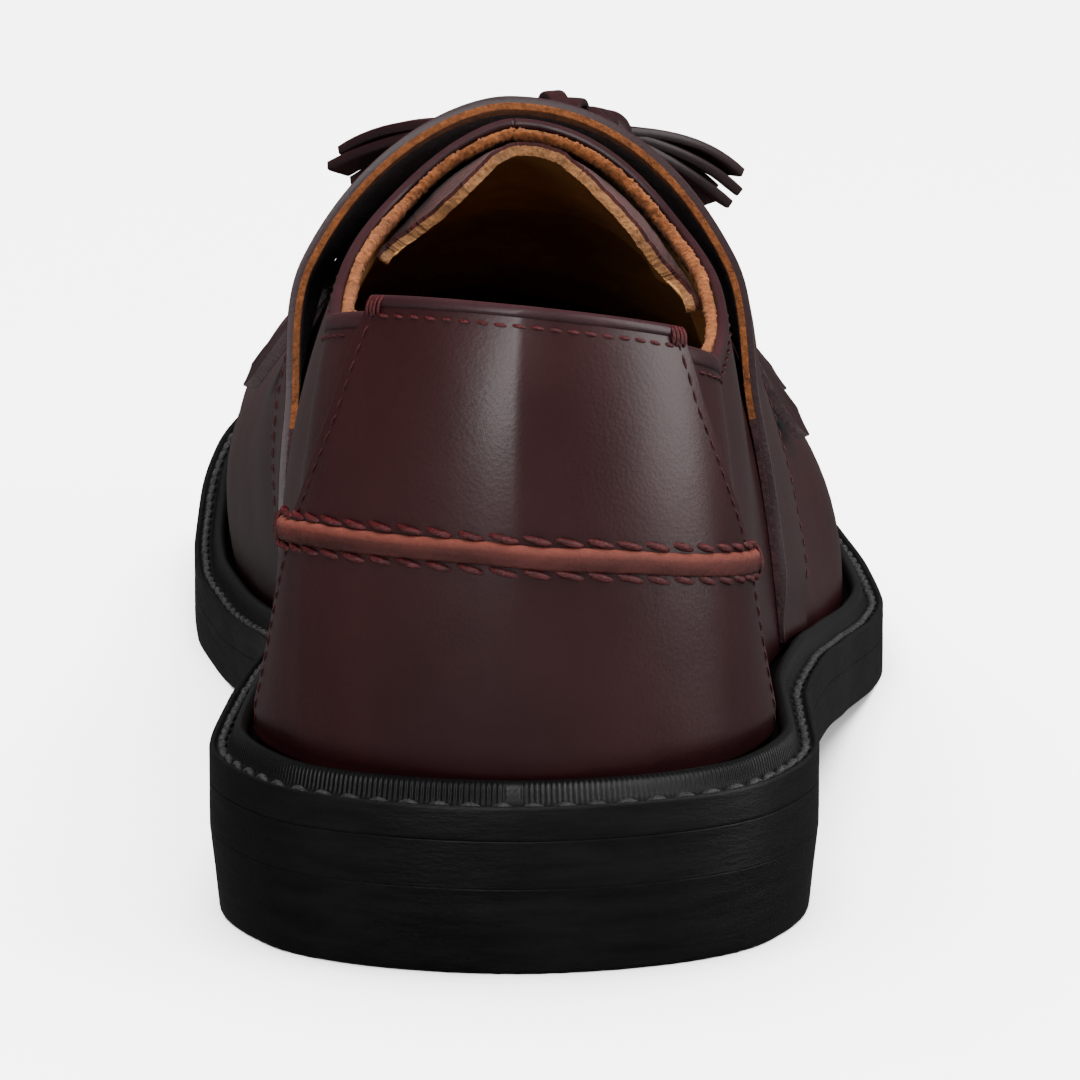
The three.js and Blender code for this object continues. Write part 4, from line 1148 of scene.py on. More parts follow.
class LOAFER_OT_counter(bpy.types.Operator):
    """Heel counter panels, rolled heel seam, bindings, tacks and stitches"""

    bl_idname = "loafer.counter"
    bl_label = "Heel counter and seam"

    def execute(self, context):
        sizes = context.scene.loafer_sizes
        leather = material_of("burgundy_box_leather")
        edge = material_of("burgundy_edge")
        red = material_of("red_thread")
        for upper_half, name, node in ((True, "counter_panel_top", "counter_top"),
                                       (False, "counter_panel_base", "counter_base")):
            thick = COUNTER_THICKNESS + SEAT

            def outside(level, upper_half=upper_half, thick=thick):
                if upper_half:
                    return thick * np.ones_like(level)
                return 0.75 + (thick - 0.75) * smoothstep(level, 0.0, 0.16)

            outer = place(counter_grid(upper_half, outside, 40, 60))
            inner = place(counter_grid(upper_half, lambda level: np.full_like(level, 0.04), 40, 60))
            panel = layered(name, [outer, inner], [leather, edge], [1], 0, 1)
            soften(panel, 0.35)
            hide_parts(node)

        self.binding(edge)
        self.seam(red)
        self.rows(sizes, red)
        self.tacks(red)
        return {"FINISHED"}

    def corners(self, side):
        return float(counter_edges(True, side, 2)[1])

    def binding(self, edge):
        """The folded top edge of the counter."""
        angle = np.concatenate([np.linspace(self.corners(-1), 0, 70)[:-1], np.linspace(0, self.corners(1), 70)])
        side = np.concatenate([np.full(69, -1.0), np.ones(70)])
        climb = np.where(side < 0, collar_climb(angle, -1.0, COUNTER_STAND), collar_climb(angle, 1.0, COUNTER_STAND))
        line = np.stack([angle, side * (1 - climb)], axis=1)
        line[:, 0] = np.abs(line[:, 0])
        top = COUNTER_THICKNESS + SEAT
        profile = [(1.25, top - 0.1), (1.28, top + 0.08), (0.95, top + 0.24), (0.35, top + 0.26), (-0.12, top + 0.02),
                   (-0.3, top - 0.5), (-0.28, 0.3), (-0.1, -0.5), (0.3, -0.9), (0.6, 0.2)]
        band = collar_band("counter_fold", line, 0.0, profile, edge)

    def seam(self, red):
        """The rolled seam with its square ends."""
        reach = float(angle_of(SEAM_REACH))
        turn = np.linspace(-reach, reach, 150)
        side = np.where(turn < 0, -1.0, 1.0)
        climb = np.where(side < 0, seam_climb(np.abs(turn), -1.0), seam_climb(np.abs(turn), 1.0))
        across = side * (1 - climb)
        points = off_last(np.abs(turn), across, 0.0)
        normals = last_normal(np.abs(turn), across)
        frames = path_frames(points, normals)
        rng = np.random.default_rng(3)
        knots = np.linspace(0, 1, 14)
        at = np.linspace(0, 1, len(turn))
        wide = 1 + np.interp(at, knots, rng.uniform(-0.05, 0.06, 14))
        sway = np.interp(at, knots, rng.uniform(-0.12, 0.12, 14))
        half = SEAM_WIDTH / 2
        shape = np.array([
            (half * 0.8, 0.1), (half * 0.98, 0.55), (half, 1.2), (half * 0.93, 1.75), (half * 0.72, 2.12),
            (half * 0.3, 2.3), (-half * 0.2, 2.34), (-half * 0.62, 2.22), (-half * 0.9, 1.85), (-half, 1.3),
            (-half * 0.98, 0.6), (-half * 0.8, 0.1),
        ])
        profile = np.stack([shape[None, :, 0] * wide[:, None] + sway[:, None],
                            np.broadcast_to(shape[None, :, 1], (len(turn), len(shape)))], axis=-1)
        loops = profile_sweep(points, frames, profile)
        # Profile weights for the strip's shader: pale worn edge with a painted highlight on the upper side, painted
        # shade on the lower side.
        upper_edge = np.tile([0, 0, 0, 0, 0, 0, 0.15, 0.65, 1.0, 0.8, 0.2, 0], len(turn))
        lower_edge = np.tile([1, 1, 0.7, 0.25, 0, 0, 0, 0, 0, 0, 0, 0.5], len(turn))
        strip = swept("rolled_heel_seam", place(loops), [material_of("rolled_seam_leather")], merge=1e-7,
                      attributes={"upper_edge": upper_edge, "lower_edge": lower_edge})
        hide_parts("heel_seam")

    def tacks(self, red):
        """Bundles of thread at the top corners and at the ends of the seam."""
        thick = COUNTER_THICKNESS + SEAT
        reach = float(angle_of(SEAM_REACH))
        share = np.linspace(0, 1, 12)
        parts = []
        for side in (-1, 1):
            corner = self.corners(side)
            for step in range(4):
                angle = np.full(12, corner * 0.985 - 0.009 * step)
                low = collar_climb(angle, side, COUNTER_STAND - 2.5)
                climb = low + (collar_climb(angle, side, COUNTER_STAND + 0.25) - low) * share
                parts.append((angle, side * (1 - climb), thick + 0.2, 2.5, 0.24))
            for step in range(3):
                angle = np.full(12, reach * (1.0 + 0.012 * step))
                low = seam_climb(angle, side, -2.1)
                climb = low + (seam_climb(angle, side, 2.1) - low) * share
                parts.append((angle, side * (1 - climb), 2.1 - 0.45 * step, 3.9, 0.36))
        made = []
        for n, (angle, across, stand, length, radius) in enumerate(parts):
            points = off_last(angle, across, stand)
            made.append(stitch_loops(points, last_normal(angle, across), 9.0, length, radius, 0.25, 70 + n))
        vertices, faces = joined(made)
        tacks = make_piece("bar_tacks", place(vertices), faces, [red], merge=1e-8)

    def rows(self, sizes, red):
        """Stitches above and below the seam, down the front edges and under the top fold."""
        reach = float(angle_of(SEAM_REACH)) * 0.985
        turn = np.linspace(-reach, reach, 400)
        side = np.where(turn < 0, -1.0, 1.0)
        thick = COUNTER_THICKNESS + SEAT
        for lift, label, seed in ((2.05, "above", 31), (-1.95, "below", 37)):
            climb = np.where(side < 0, seam_climb(np.abs(turn), -1.0, lift), seam_climb(np.abs(turn), 1.0, lift))
            row = stitch_row("seam_stitches_" + label, np.abs(turn), side * (1 - climb), thick, red,
                             sizes.seam_stitch, sizes.seam_stitch * 0.97, 0.42, 0.3, seed, 0.8)

        corner = {s: self.corners(s) for s in (-1, 1)}
        turn = np.concatenate([np.linspace(-corner[-1] * 0.93, 0, 200)[:-1], np.linspace(0, corner[1] * 0.93, 200)])
        side = np.where(turn < 0, -1.0, 1.0)
        lift = COUNTER_STAND - 2.35
        climb = np.where(side < 0, collar_climb(np.abs(turn), -1.0, lift), collar_climb(np.abs(turn), 1.0, lift))
        row = stitch_row("counter_top_stitches", np.abs(turn), side * (1 - climb), thick, red,
                         sizes.fine_stitch, sizes.fine_stitch * 0.74, 0.23, 0.15, 41)

        for s, label in ((1, "outer"), (-1, "inner")):
            for upper_half, part in ((True, "top"), (False, "base")):
                count = 160
                front = counter_edges(upper_half, s, count)
                t = np.linspace(0, 1, count)
                angle = front - 0.028
                climb = counter_climb(upper_half, s, angle, t)
                keep = (t > 0.03) & (t < 0.96)
                stand = thick if upper_half else 0.75 + (thick - 0.75) * smoothstep(t[keep], 0.0, 0.16)
                row = stitch_row("counter_front_stitches_%s_%s" % (part, label), angle[keep],
                                 s * (1 - climb[keep]), stand, material_of("dark_thread"), sizes.fine_stitch,
                                 sizes.fine_stitch * 0.84, 0.16, 0.1, 43)


class LOAFER_OT_tongue(bpy.types.Operator):
    """Tongue flap inside the throat, dipping at its edge, with a pale raw edge"""

    bl_idname = "loafer.tongue"
    bl_label = "Tongue"

    def execute(self, context):
        under = UPPER_WALL + TONGUE_GAP
        halves = []
        for side in (-1, 1):
            path = collar_path(side, 200)
            path = path[path[:, 0] > (0.96 if side < 0 else 0.92)]
            half = np.stack([path[:, 0], side * (1 - path[:, 1])], axis=1)
            halves.append(half if side < 0 else half[::-1][1:])
        line = np.concatenate(halves)
        stations = 240
        params = even_path(last_point(line[:, 0], line[:, 1]), line, stations)
        at = np.linspace(0, 1, stations)
        y_edge = last_point(params[:, 0], params[:, 1])[:, 1]
        rng = np.random.default_rng(8)
        ripple = np.interp(at, np.linspace(0, 1, 40), rng.uniform(-0.3, 0.3, 40)) + rng.normal(0, 0.05, stations)
        ends = smoothstep(np.minimum(at, 1 - at), 0.0, 0.3)
        share = np.linspace(0, 1, 30)
        back = (TONGUE_SHOW * ends - 7.0 * (1 - ends) + ripple)[:, None] * (1 - share) - 34.0 * share**1.6
        theta = angle_at(y_edge[:, None] - back)
        level = params[:, 1:] * (1 - 0.12 * share)
        sag = 0.7 + 2.0 * smoothstep(np.abs(params[:, 1:]), 0.06, 0.4)
        dip = 0.4 * ripple[:, None] * (1 - share) ** 3 - sag * (1 - smoothstep(share, 0.0, 0.35)) * ends[:, None]
        skins = [0.0, 0.5, TONGUE_THICKNESS]
        layers = [place(off_last(theta, level, dip - under - depth)) for depth in skins]
        tongue = layered("tongue_flap", layers,
                         [material_of("tongue_leather"), material_of("pale_tan_edge"), material_of("tan_lining")],
                         [0, 1], 0, 2)
        soften(tongue, 0.3)
        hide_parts("tongue")
        return {"FINISHED"}


def board_loop(angle_count, inset):
    angle = np.linspace(0, math.pi, angle_count + 1)
    far = FEATHER_INSET + inset
    p_y = FEATHER_INSET + (SOLE_LENGTH / 2 - FEATHER_INSET) * (1 - np.cos(angle))
    y = far + (p_y - FEATHER_INSET) * (SOLE_LENGTH - 2 * far) / (SOLE_LENGTH - 2 * FEATHER_INSET)
    outer = np.stack([drawn_edge(angle, 1, far), y], axis=1)
    inner = np.stack([drawn_edge(angle, -1, far), y], axis=1)[1:-1][::-1]
    return np.concatenate([outer, inner])


class LOAFER_OT_insole(bpy.types.Operator):
    """Insole board with a soft sock, slightly dished inside its rim"""

    bl_idname = "loafer.insole"
    bl_label = "Insole and sock"

    def execute(self, context):
        stations = 120

        def level(inset, lift, dish=0.0):
            plan = board_loop(stations, inset)
            z = welt_top(plan[:, 1]) + SEAT + lift
            return place(np.concatenate([plan, z[:, None]], axis=1))

        wall = UPPER_WALL + 0.12
        top = INSOLE_THICKNESS
        levels = [level(wall + 2.0, -0.25), level(wall, -0.2), level(wall, top - 0.7), level(wall + 0.4, top - 0.15),
                  level(wall + 1.6, top), level(wall + 5.0, top - 0.3), level(wall + 12.0, top - 0.45)]
        board = plate_piece("insole_sock", levels, [material_of("tan_lining")], [0] * (len(levels) - 1), 0, 0,
                            merge=1e-7)
        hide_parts("insole")
        return {"FINISHED"}


# Pieces over the instep


def edge_angle(edge, across):
    """The angle at which a side-view edge crosses each line along the last."""
    across = np.asarray(across, float)
    low = np.full_like(across, float(angle_at(0.22 * SOLE_LENGTH)))
    high = np.full_like(across, float(angle_at(0.5 * SOLE_LENGTH)))
    for _ in range(34):
        middle = (low + high) / 2
        p = last_point(middle, across)
        before = p[..., 1] < edge((p[..., 2] - HEEL_TOP) / BACK_HEIGHT)
        low = np.where(before, middle, low)
        high = np.where(before, high, middle)
    return (low + high) / 2


def saddle_stand(y, across):
    forwards = smoothstep(y / SOLE_LENGTH, KILTIE_ROOT - 0.05, KILTIE_ROOT - 0.005)
    sideways = smoothstep(np.abs(across) + 0.1 * forwards, SADDLE_STAND_FROM, SADDLE_STAND_TO)
    top = SADDLE_REAR_STAND + (KILTIE_CLEAR - SADDLE_REAR_STAND) * forwards
    stand = top - top * sideways
    return stand * (1 - smoothstep(np.abs(across), 0.93, 0.985)) + 0.05


class LOAFER_OT_saddle(bpy.types.Operator):
    """Saddle strap over the instep with raw tan edges and edge stitches"""

    bl_idname = "loafer.saddle"
    bl_label = "Saddle"

    def execute(self, context):
        sizes = context.scene.loafer_sizes
        across = np.linspace(-0.992, 0.992, 221)
        rear = edge_angle(saddle_rear, across)
        front = edge_angle(saddle_front, across)
        band = 0.075 * (1 - 0.8 * smoothstep(np.abs(across), 0.4, 0.78))[:, None]
        u = np.concatenate([band * np.linspace(0, 1, 4)[:-1], band + (1 - band) * np.linspace(0, 1, 38)], axis=1)
        theta = rear[:, None] + (front - rear)[:, None] * u
        level = np.repeat(across[:, None], u.shape[1], axis=1)
        y = last_point(theta, level)[..., 1]
        stand = saddle_stand(y, level)
        thick = SADDLE_THICKNESS - (SADDLE_THICKNESS - 0.8) * smoothstep(np.abs(level), 0.93, 0.98)
        flare = 0.5 * (1 - smoothstep(u, 0.0, 0.16)) * (1 - smoothstep(np.abs(level), 0.6, 0.9))
        layers = [place(off_last(theta, level, stand + flare + thick * share)) for share in (1.0, 0.5, 0.0)]
        raw = np.where(np.abs(across) < 0.78, 2, 3)
        # Painted shade: beyond the first three columns the strap's inner face takes the dark edge finish, standing in
        # for the shadow in the gap under the strap.
        inside = np.where(np.arange(u.shape[1] - 1)[None] < 3, raw[:-1, None], 3).ravel()
        saddle = layered("saddle_strap", layers,
                         [material_of("burgundy_box_leather"), material_of("burgundy_edge"),
                          material_of("raw_tan_edge"), material_of("fringe_edge")],
                         [1, raw[perimeter(*theta.shape) // u.shape[1]]], 0, inside)
        soften(saddle, 0.28)
        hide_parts("saddle")
        index = 37
        dense = np.linspace(-0.95, 0.95, 700)
        angle = np.interp(dense, across, theta[:, index])
        height = np.interp(dense, across, (stand + flare + thick)[:, index])
        row = stitch_row("saddle_stitches", angle, dense, height, material_of("dark_thread"), sizes.fine_stitch,
                         sizes.fine_stitch * 0.74, 0.2, 0.12, 51)
        return {"FINISHED"}


def kiltie_across(y, v):
    """Where a share of the kiltie's width, from 0 inside to 1 outside, lies on the last."""
    reach = np.where(v < 0.5, inner_reach(y / SOLE_LENGTH), outer_reach(y / SOLE_LENGTH))
    return reach * (2 * v - 1)


class LOAFER_OT_kiltie(bpy.types.Operator):
    """Kiltie with its fringe of cut strips"""

    bl_idname = "loafer.kiltie"
    bl_label = "Kiltie"

    def execute(self, context):
        leather = material_of("burgundy_fringe")
        edge = material_of("fringe_edge")
        rng = np.random.default_rng(17)
        u = np.linspace(0, 1, 9)
        v = np.linspace(0, 1, 121)
        y = SOLE_LENGTH * (KILTIE_ROOT + (KILTIE_SLIT + 0.004 - KILTIE_ROOT) * u)
        across = kiltie_across(y[:, None], v[None])
        theta = np.repeat(angle_at(y)[:, None], len(v), axis=1)
        full = np.full_like(across, SEAT + KILTIE_THICKNESS)
        under = np.maximum(0.3, saddle_stand(y[:, None], across) - 0.1)
        rise = np.where(y[:, None] < 0.432 * SOLE_LENGTH, under, np.minimum(full, under))
        root = layered("kiltie_root", [place(off_last(theta, across, rise)),
                                       place(off_last(theta, across, 0.08))], [leather, edge], [1], 0, 1)
        soften(root, 0.3)
        vertices, faces, slots = [], [], []
        offset = 0
        for k in range(KILTIE_STRIPS):
            slit = 0.0042
            middle = (k + 0.5) / KILTIE_STRIPS
            half = 0.5 / KILTIE_STRIPS - slit
            end = KILTIE_FRONT - KILTIE_SWEEP * (2 * middle - 1) ** 2 + rng.uniform(-0.002, 0.002)
            sway = rng.uniform(-0.006, 0.006)
            outermost = abs(2 * middle - 1)
            curl = 1.1 * rng.uniform(0.1, 1.0) + (1.8 if middle < 0.5 else 0.0) * max(0.0, outermost - 0.8) / 0.2
            t = np.linspace(0, 1, 15)
            w = np.linspace(-1, 1, 5)
            yk = SOLE_LENGTH * (KILTIE_SLIT - 0.012 + (end - KILTIE_SLIT + 0.012) * t)
            taper = 1 - 0.5 * smoothstep(t, 0.86, 1.06)
            place_v = middle + half * w[None] * taper[:, None] + sway * (t**2)[:, None]
            level = kiltie_across(yk[:, None], place_v)
            theta = np.repeat(angle_at(yk)[:, None], len(w), axis=1)
            lift = (curl * t**2.4)[:, None] + 0.18 * (w**2)[None]
            top = place(off_last(theta, level, SEAT + KILTIE_THICKNESS + 0.02 + lift))
            low = place(off_last(theta, level, 0.12 + lift))
            size = top.shape[0] * top.shape[1]
            skin = grid_faces(*top.shape[:2])
            border = perimeter(*top.shape[:2])
            vertices += [top.reshape(-1, 3), low.reshape(-1, 3)]
            wall = np.stack([border, np.roll(border, -1), np.roll(border, -1) + size, border + size], axis=1)
            faces += [skin + offset, skin[:, ::-1] + offset + size, wall + offset]
            slots += [np.zeros(len(skin)), np.ones(len(skin)), np.ones(len(wall))]
            offset += 2 * size
        fringe = make_piece("kiltie_fringe", np.concatenate(vertices), np.concatenate(faces), [leather, edge],
                            np.concatenate(slots), merge=1e-8)
        soften(fringe, 0.25, 2)
        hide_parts("kiltie")
        return {"FINISHED"}


def knot_centre():
    angle = angle_at(KNOT_AT * SOLE_LENGTH)
    stand = KILTIE_CLEAR + SADDLE_THICKNESS + SEAT + KNOT_HEIGHT / 2
    return off_last(np.array(angle), np.array(KNOT_ASIDE), np.array(stand))


def tassel_frame(way):
    along = unit(np.array(way))
    across = unit(np.cross([0.0, 0.0, 1.0], along))
    start = knot_centre() + along * (KNOT_WIDTH / 2 + CAP_GAP)
    return along, across, np.cross(along, across), start


def rounded_loop(width, thickness, corner=0.35, steps=4):
    """A rounded rectangle as a closed loop of side and up."""
    half_w, half_t = width / 2 - corner, thickness / 2 - corner
    loop = []
    for centre, start in (((half_w, half_t), 0), ((-half_w, half_t), 90), ((-half_w, -half_t), 180),
                          ((half_w, -half_t), 270)):
        for a in np.linspace(start, start + 90, steps):
            loop.append((centre[0] + corner * math.cos(math.radians(a)),
                         centre[1] + corner * math.sin(math.radians(a))))
    return np.array(loop)


def ribbon(points, sides, ups, widths, thickness, corner=0.35):
    """Vertices and faces of a flat lace along a path."""
    loop = rounded_loop(1.0, 1.0, 0.18)
    loops = (
        points[:, None]
        + sides[:, None] * (loop[None, :, :1] * np.asarray(widths)[:, None, None])
        + ups[:, None] * (loop[None, :, 1:] * thickness)
    )
    count, around = loops.shape[:2]
    faces = [tuple(f) for f in grid_faces(count, around, wrap_columns=True)]
    faces.append(tuple(range(around))[::-1])
    faces.append(tuple((count - 1) * around + i for i in range(around)))
    return loops.reshape(-1, 3), faces


def joined(parts):
    """One list of vertices and faces from several."""
    vertices, faces, offset = [], [], 0
    for points, quads in parts:
        vertices.append(points)
        faces += [tuple(i + offset for i in f) for f in quads]
        offset += len(points)
    return np.concatenate(vertices), faces


class LOAFER_OT_tassels(bpy.types.Operator):
    """Knot, lace ends and the two tassels"""

    bl_idname = "loafer.tassels"
    bl_label = "Tassels"

    def execute(self, context):
        leather = material_of("burgundy_fringe")
        self.tie(leather)
        for way, name, seed in ((OUTER_TASSEL_WAY, "tassel_outer", 61), (INNER_TASSEL_WAY, "tassel_inner", 67)):
            self.tassel(way, name, seed, leather)
        return {"FINISHED"}

    def tie(self, leather):
        middle = knot_centre()
        parts = []
        turns = np.linspace(0, 2 * math.pi, 41)[:-1]
        for tilt, shift, size, rise in ((0.32, 0.2, 1.04, 1.5), (-0.3, 3.0, 0.97, 0.9), (0.02, -1.6, 1.1, -0.2)):
            axis = unit(np.array([1.0, tilt, 0.12 * tilt]))
            centre = middle + axis * shift + np.array([0.0, 0.0, rise])
            up = np.array([0.0, 0.0, 1.0])
            forward = unit(np.cross(up, axis))
            points = centre + np.outer(np.cos(turns) * KNOT_WIDTH / 3.1 * size, forward)
            points = points + np.outer(np.sin(turns) * KNOT_HEIGHT / 2.75 * size, unit(np.cross(axis, forward)))
            ups = unit(points - centre)
            sides = np.tile(axis, (len(turns), 1))
            loop = rounded_loop(1.0, 1.0, 0.2)
            loops = points[:, None] + sides[:, None] * (loop[None, :, :1] * 2.7) + ups[:, None] * (loop[None, :, 1:] * 1.1)
            faces = [tuple(f) for f in grid_faces(len(turns), len(loop), wrap_rows=True, wrap_columns=True)]
            parts.append((loops.reshape(-1, 3), faces))
        for way in (OUTER_TASSEL_WAY, INNER_TASSEL_WAY):
            along, across, up, start = tassel_frame(way)
            t = np.linspace(0, 1, 12)
            bow = np.sin(t * math.pi) * 0.5
            points = middle + np.outer(t, start + along * 1.2 - middle) + np.outer(bow, up)
            parts.append(ribbon(points, np.tile(across, (12, 1)), np.tile(up, (12, 1)), np.full(12, 2.9), 1.7))
        vertices, faces = joined(parts)
        tie = make_piece("tassel_knot", place(vertices), faces, [leather], merge=1e-8, smooth_angle=60)
        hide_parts("tassel_tie")

    def tassel(self, way, name, seed, leather):
        rng = np.random.default_rng(seed)
        along, across, up, start = tassel_frame(way)
        radius = TASSEL_CAP_DIAMETER / 2
        shape = [(0.3, -0.1), (0.62, 0.0), (0.9, 0.35), (1.0, 1.0), (1.02, 2.0), (0.98, 2.2), (1.03, 2.5), (1.03, 4.6),
                 (0.98, 4.85), (1.02, 5.1), (1.03, 7.2), (0.99, 7.8), (0.9, 8.0), (0.5, 8.0), (0.2, 7.6)]
        around = np.linspace(0, 2 * math.pi, 40, endpoint=False)
        loops = []
        for scale, distance in shape:
            fold = 1 + 0.03 * np.sin(around * 3 + seed)
            ring = np.outer(np.cos(around) * radius * scale * fold, across)
            ring = ring + np.outer(np.sin(around) * radius * scale * fold, up)
            loops.append(start + along * distance + ring)
        loops = np.stack(loops)
        faces = [tuple(f) for f in grid_faces(len(shape), len(around), wrap_columns=True)]
        faces.append(tuple(range(len(around)))[::-1])
        faces.append(tuple((len(shape) - 1) * len(around) + i for i in range(len(around))))
        parts = [(loops.reshape(-1, 3), faces)]
        for count, lift in ((4, 0.52), (4, 0.02), (4, -0.48)):
            for i in range(count):
                spread = ((i - (count - 1) / 2) / (count - 1)) * (TASSEL_SPREAD - FRINGE_WIDTH)
                spread += rng.uniform(-0.7, 0.7)
                length = TASSEL_LENGTH * rng.uniform(0.86, 1.0)
                t = np.linspace(0, 1, 16)
                fan = np.sin(t * math.pi / 2)
                ahead = TASSEL_CAP_LENGTH * 0.5 + t * (length + TASSEL_CAP_LENGTH * 0.5)
                wave = rng.uniform(-0.5, 0.5) * np.sin(t * math.pi * rng.uniform(0.8, 1.5))
                height = lift * TASSEL_DEPTH * fan - TASSEL_DROOP * t**2 + wave * t
                points = (start + np.outer(ahead, along) + np.outer(spread * fan + wave * 0.6, across)
                          + np.outer(height, up))
                tangent = unit(np.gradient(points, axis=0))
                roll = rng.uniform(-0.5, 0.5) * t
                flat = unit(np.cross(tangent, np.tile(across, (len(t), 1))))
                flat = unit(flat * np.cos(roll)[:, None] + np.tile(across, (len(t), 1)) * np.sin(roll)[:, None])
                sides = unit(np.cross(flat, tangent))
                widths = 4.0 * (0.6 + 0.4 * np.minimum(1, t * 2.2)) * rng.uniform(0.88, 1.05)
                parts.append(ribbon(points, sides, flat, widths, 1.5))
        vertices, faces = joined(parts)
        piece = make_piece(name + "_fringe", place(vertices), faces, [leather], merge=1e-8, smooth_angle=50)
        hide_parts(name)


# Stage


class LOAFER_OT_stage(bpy.types.Operator):
    """Pale floor, soft studio light and the camera"""

    bl_idname = "loafer.stage"
    bl_label = "Stage"

    def execute(self, context):
        scene = context.scene
        size = 6.0
        floor_mesh = bpy.data.meshes.new("studio_floor")
        corners = [(-size, -size, 0), (size, -size, 0), (size, size, 0), (-size, size, 0)]
        floor_mesh.from_pydata(corners, [], [(0, 1, 2, 3)])
        floor = bpy.data.objects.new("studio_floor", floor_mesh)
        scene.collection.objects.link(floor)
        s = Shader("pale_floor")
        clouds = s.noise(s.coordinates(), 1.2, 2.0, 0.5)
        tint = s.mix(clouds, (0.87, 0.87, 0.87, 1), (0.9, 0.9, 0.9, 1))
        floor_mesh.materials.append(s.finish(Base_Color=tint, Roughness=0.85, Specular_IOR_Level=0.2))
        floor.visible_glossy = False

        world = bpy.data.worlds.new("studio")
        world.use_nodes = True
        background = world.node_tree.nodes["Background"]
        background.inputs["Color"].default_value = (1, 1, 1, 1)
        background.inputs["Strength"].default_value = scene.loafer_light.sky
        scene.world = world

        for name, spot, aim, width, height, power in (
            ("strip_left", (-0.17, -0.9, 0.54), (0.0, -0.03, 0.05), 0.24, 1.0, 14.0),
            ("box_right", (1.0, -0.12, 0.45), (0.0, 0.0, 0.05), 0.6, 1.0, 17.0),
            ("overhead", (0.0, 0.5, 2.0), (0.0, 0.15, 0.0), 3.0, 3.0, 470.0),
        ):
            light = bpy.data.lights.new(name, "AREA")
            light.shape = "RECTANGLE"
            light.size = width
            light.size_y = height
            light.energy = power * scene.loafer_light.power
            lamp = bpy.data.objects.new(name, light)
            lamp.location = spot
            facing = (Vector(aim) - Vector(spot)).to_track_quat("-Z", "Y")
            roll = math.radians(-44 if name == "strip_left" else 0)
            lamp.rotation_euler = (facing @ Quaternion((0, 0, 1), roll)).to_euler()
            lamp.visible_glossy = name != "overhead"
            scene.collection.objects.link(lamp)

        camera = bpy.data.cameras.new("photo_camera")
        holder = bpy.data.objects.new("photo_camera", camera)
        yaw, pitch = math.radians(-2.16), math.radians(10.65)
        focal = 4563.7
        forward = Vector((math.sin(yaw) * math.cos(pitch), math.cos(yaw) * math.cos(pitch), -math.sin(pitch)))
        right = Vector((math.cos(yaw), -math.sin(yaw), 0))
        up = right.cross(forward)
        look = forward * focal + right * (788 - 540) - up * (588 - 540)
        holder.location = (-0.0107, -0.7889, 0.2026)
        holder.rotation_euler = look.to_track_quat("-Z", "Y").to_euler()
        camera.sensor_width = 36.0
        camera.lens = focal / 1080 * 36.0 * 1.42
        camera.clip_start = 0.01
        camera.clip_end = 50.0
        scene.collection.objects.link(holder)
        scene.camera = holder
        return {"FINISHED"}


class LoaferSizes(bpy.types.PropertyGroup):
    """Small sizes of the trim, in millimetres"""

    joint_gap: bpy.props.FloatProperty(name="Joint gap", description="Fine gap between sole layers", default=0.03, min=0.0)
    welt_stitch: bpy.props.FloatProperty(name="Welt stitch", description="Pitch of the welt stitches", default=3.8, min=1.0)
    seam_stitch: bpy.props.FloatProperty(name="Seam stitch", description="Pitch beside the heel seam", default=3.9, min=1.0)
    fine_stitch: bpy.props.FloatProperty(name="Fine stitch", description="Pitch of the closing rows", default=2.2, min=0.8)


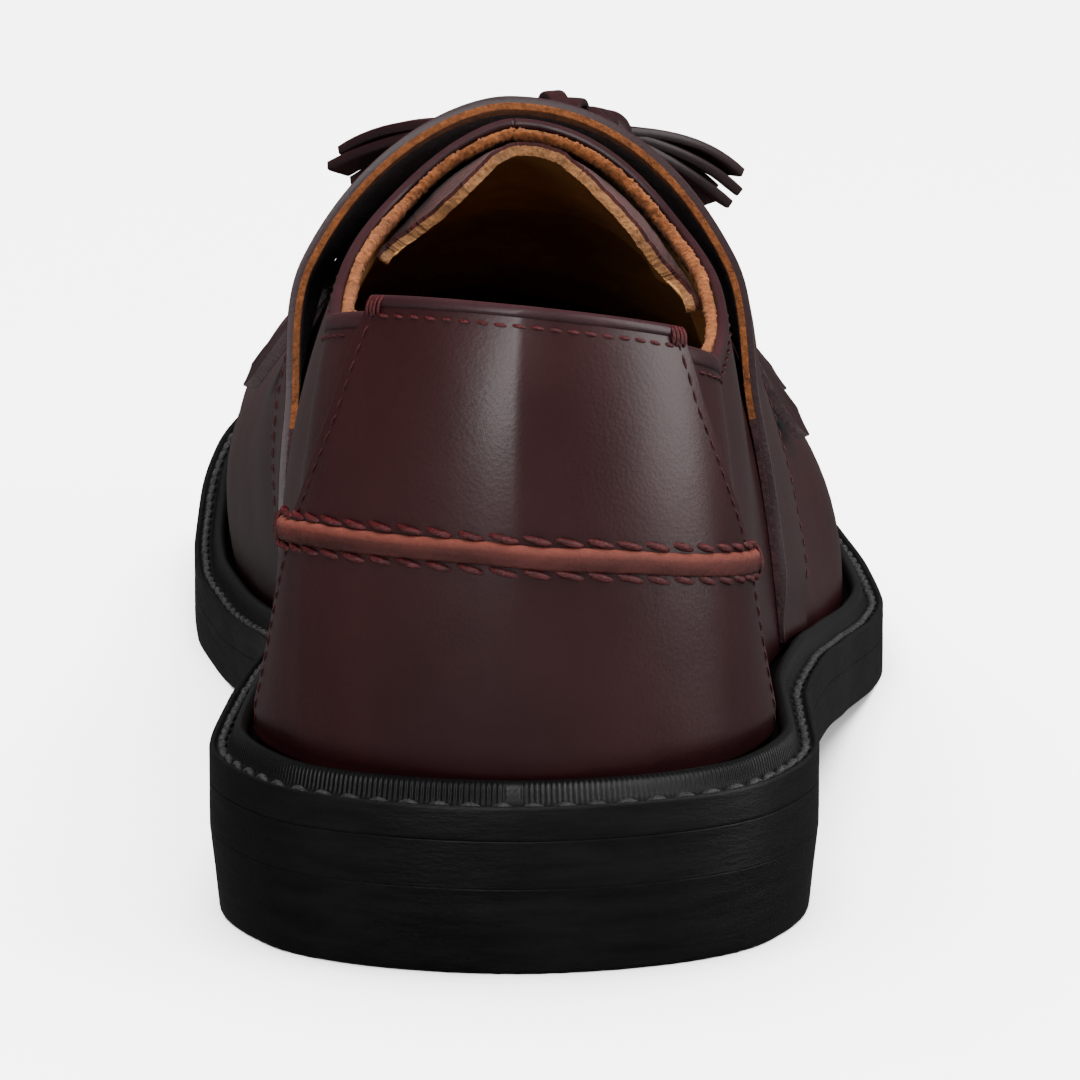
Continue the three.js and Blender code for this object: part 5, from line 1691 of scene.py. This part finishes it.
class LoaferColours(bpy.types.PropertyGroup):
    """Colours of the leathers, thread and sole"""

    leather: bpy.props.FloatVectorProperty(
        name="Leather", description="Burgundy of the upper", subtype="COLOR", default=(0.0108, 0.0023, 0.0027))
    edge: bpy.props.FloatVectorProperty(
        name="Folded edges", description="Burgundy of the folds", subtype="COLOR", default=(0.0125, 0.0037, 0.0047))
    fringe: bpy.props.FloatVectorProperty(
        name="Fringe", description="Burgundy of kiltie and tassels", subtype="COLOR", default=(0.0095, 0.0026, 0.0031))
    tongue: bpy.props.FloatVectorProperty(
        name="Tongue", description="Red of the tongue", subtype="COLOR", default=(0.016, 0.0026, 0.0022))
    flesh: bpy.props.FloatVectorProperty(
        name="Raw edges", description="Tan of cut leather", subtype="COLOR", default=(0.105, 0.032, 0.0085))
    lining: bpy.props.FloatVectorProperty(
        name="Lining", description="Tan of the lining", subtype="COLOR", default=(0.16, 0.075, 0.022))
    seam: bpy.props.FloatVectorProperty(
        name="Heel seam", description="Red brown of the rolled seam", subtype="COLOR", default=(0.024, 0.0036, 0.0026))
    thread: bpy.props.FloatVectorProperty(
        name="Thread", description="Dark red of the thread", subtype="COLOR", default=(0.026, 0.003, 0.0037))
    sole: bpy.props.FloatVectorProperty(
        name="Sole", description="Black of sole and welt", subtype="COLOR", default=(0.0015, 0.0015, 0.0016))


class LoaferLight(bpy.types.PropertyGroup):
    """Strength of the studio light"""

    sky: bpy.props.FloatProperty(name="Sky", description="Strength of the white surroundings", default=0.15, min=0.0)
    power: bpy.props.FloatProperty(name="Lamps", description="Strength of the soft lamps", default=1.0, min=0.0)


class LOAFER_PT_panel(bpy.types.Panel):
    """Lists the loafer's pieces"""

    bl_label = "Loafer"
    bl_idname = "LOAFER_PT_panel"
    bl_space_type = "VIEW_3D"
    bl_region_type = "UI"
    bl_category = "Loafer"

    def draw(self, context):
        for group in ("loafer_sizes", "loafer_colours", "loafer_light"):
            values = getattr(context.scene, group)
            for key in values.__annotations__:
                self.layout.prop(values, key)
        for operator in OPERATORS:
            self.layout.operator(operator.bl_idname)


OPERATORS = (
    LOAFER_OT_stage,
    LOAFER_OT_sole,
    LOAFER_OT_welt,
    LOAFER_OT_insole,
    LOAFER_OT_upper,
    LOAFER_OT_topline,
    LOAFER_OT_tongue,
    LOAFER_OT_counter,
    LOAFER_OT_kiltie,
    LOAFER_OT_saddle,
    LOAFER_OT_tassels,
)
GROUPS = (("loafer_sizes", LoaferSizes), ("loafer_colours", LoaferColours), ("loafer_light", LoaferLight))


def register():
    for name, group in GROUPS:
        bpy.utils.register_class(group)
        setattr(bpy.types.Scene, name, bpy.props.PointerProperty(type=group))
    for kind in OPERATORS + (LOAFER_PT_panel,):
        bpy.utils.register_class(kind)


def unregister():
    for kind in reversed(OPERATORS + (LOAFER_PT_panel,)):
        bpy.utils.unregister_class(kind)
    for name, group in reversed(GROUPS):
        delattr(bpy.types.Scene, name)
        bpy.utils.unregister_class(group)


def main():
    register()
    for operator in OPERATORS:
        group, name = operator.bl_idname.split(".")
        getattr(getattr(bpy.ops, group), name)()


if __name__ == "__main__":
    main()
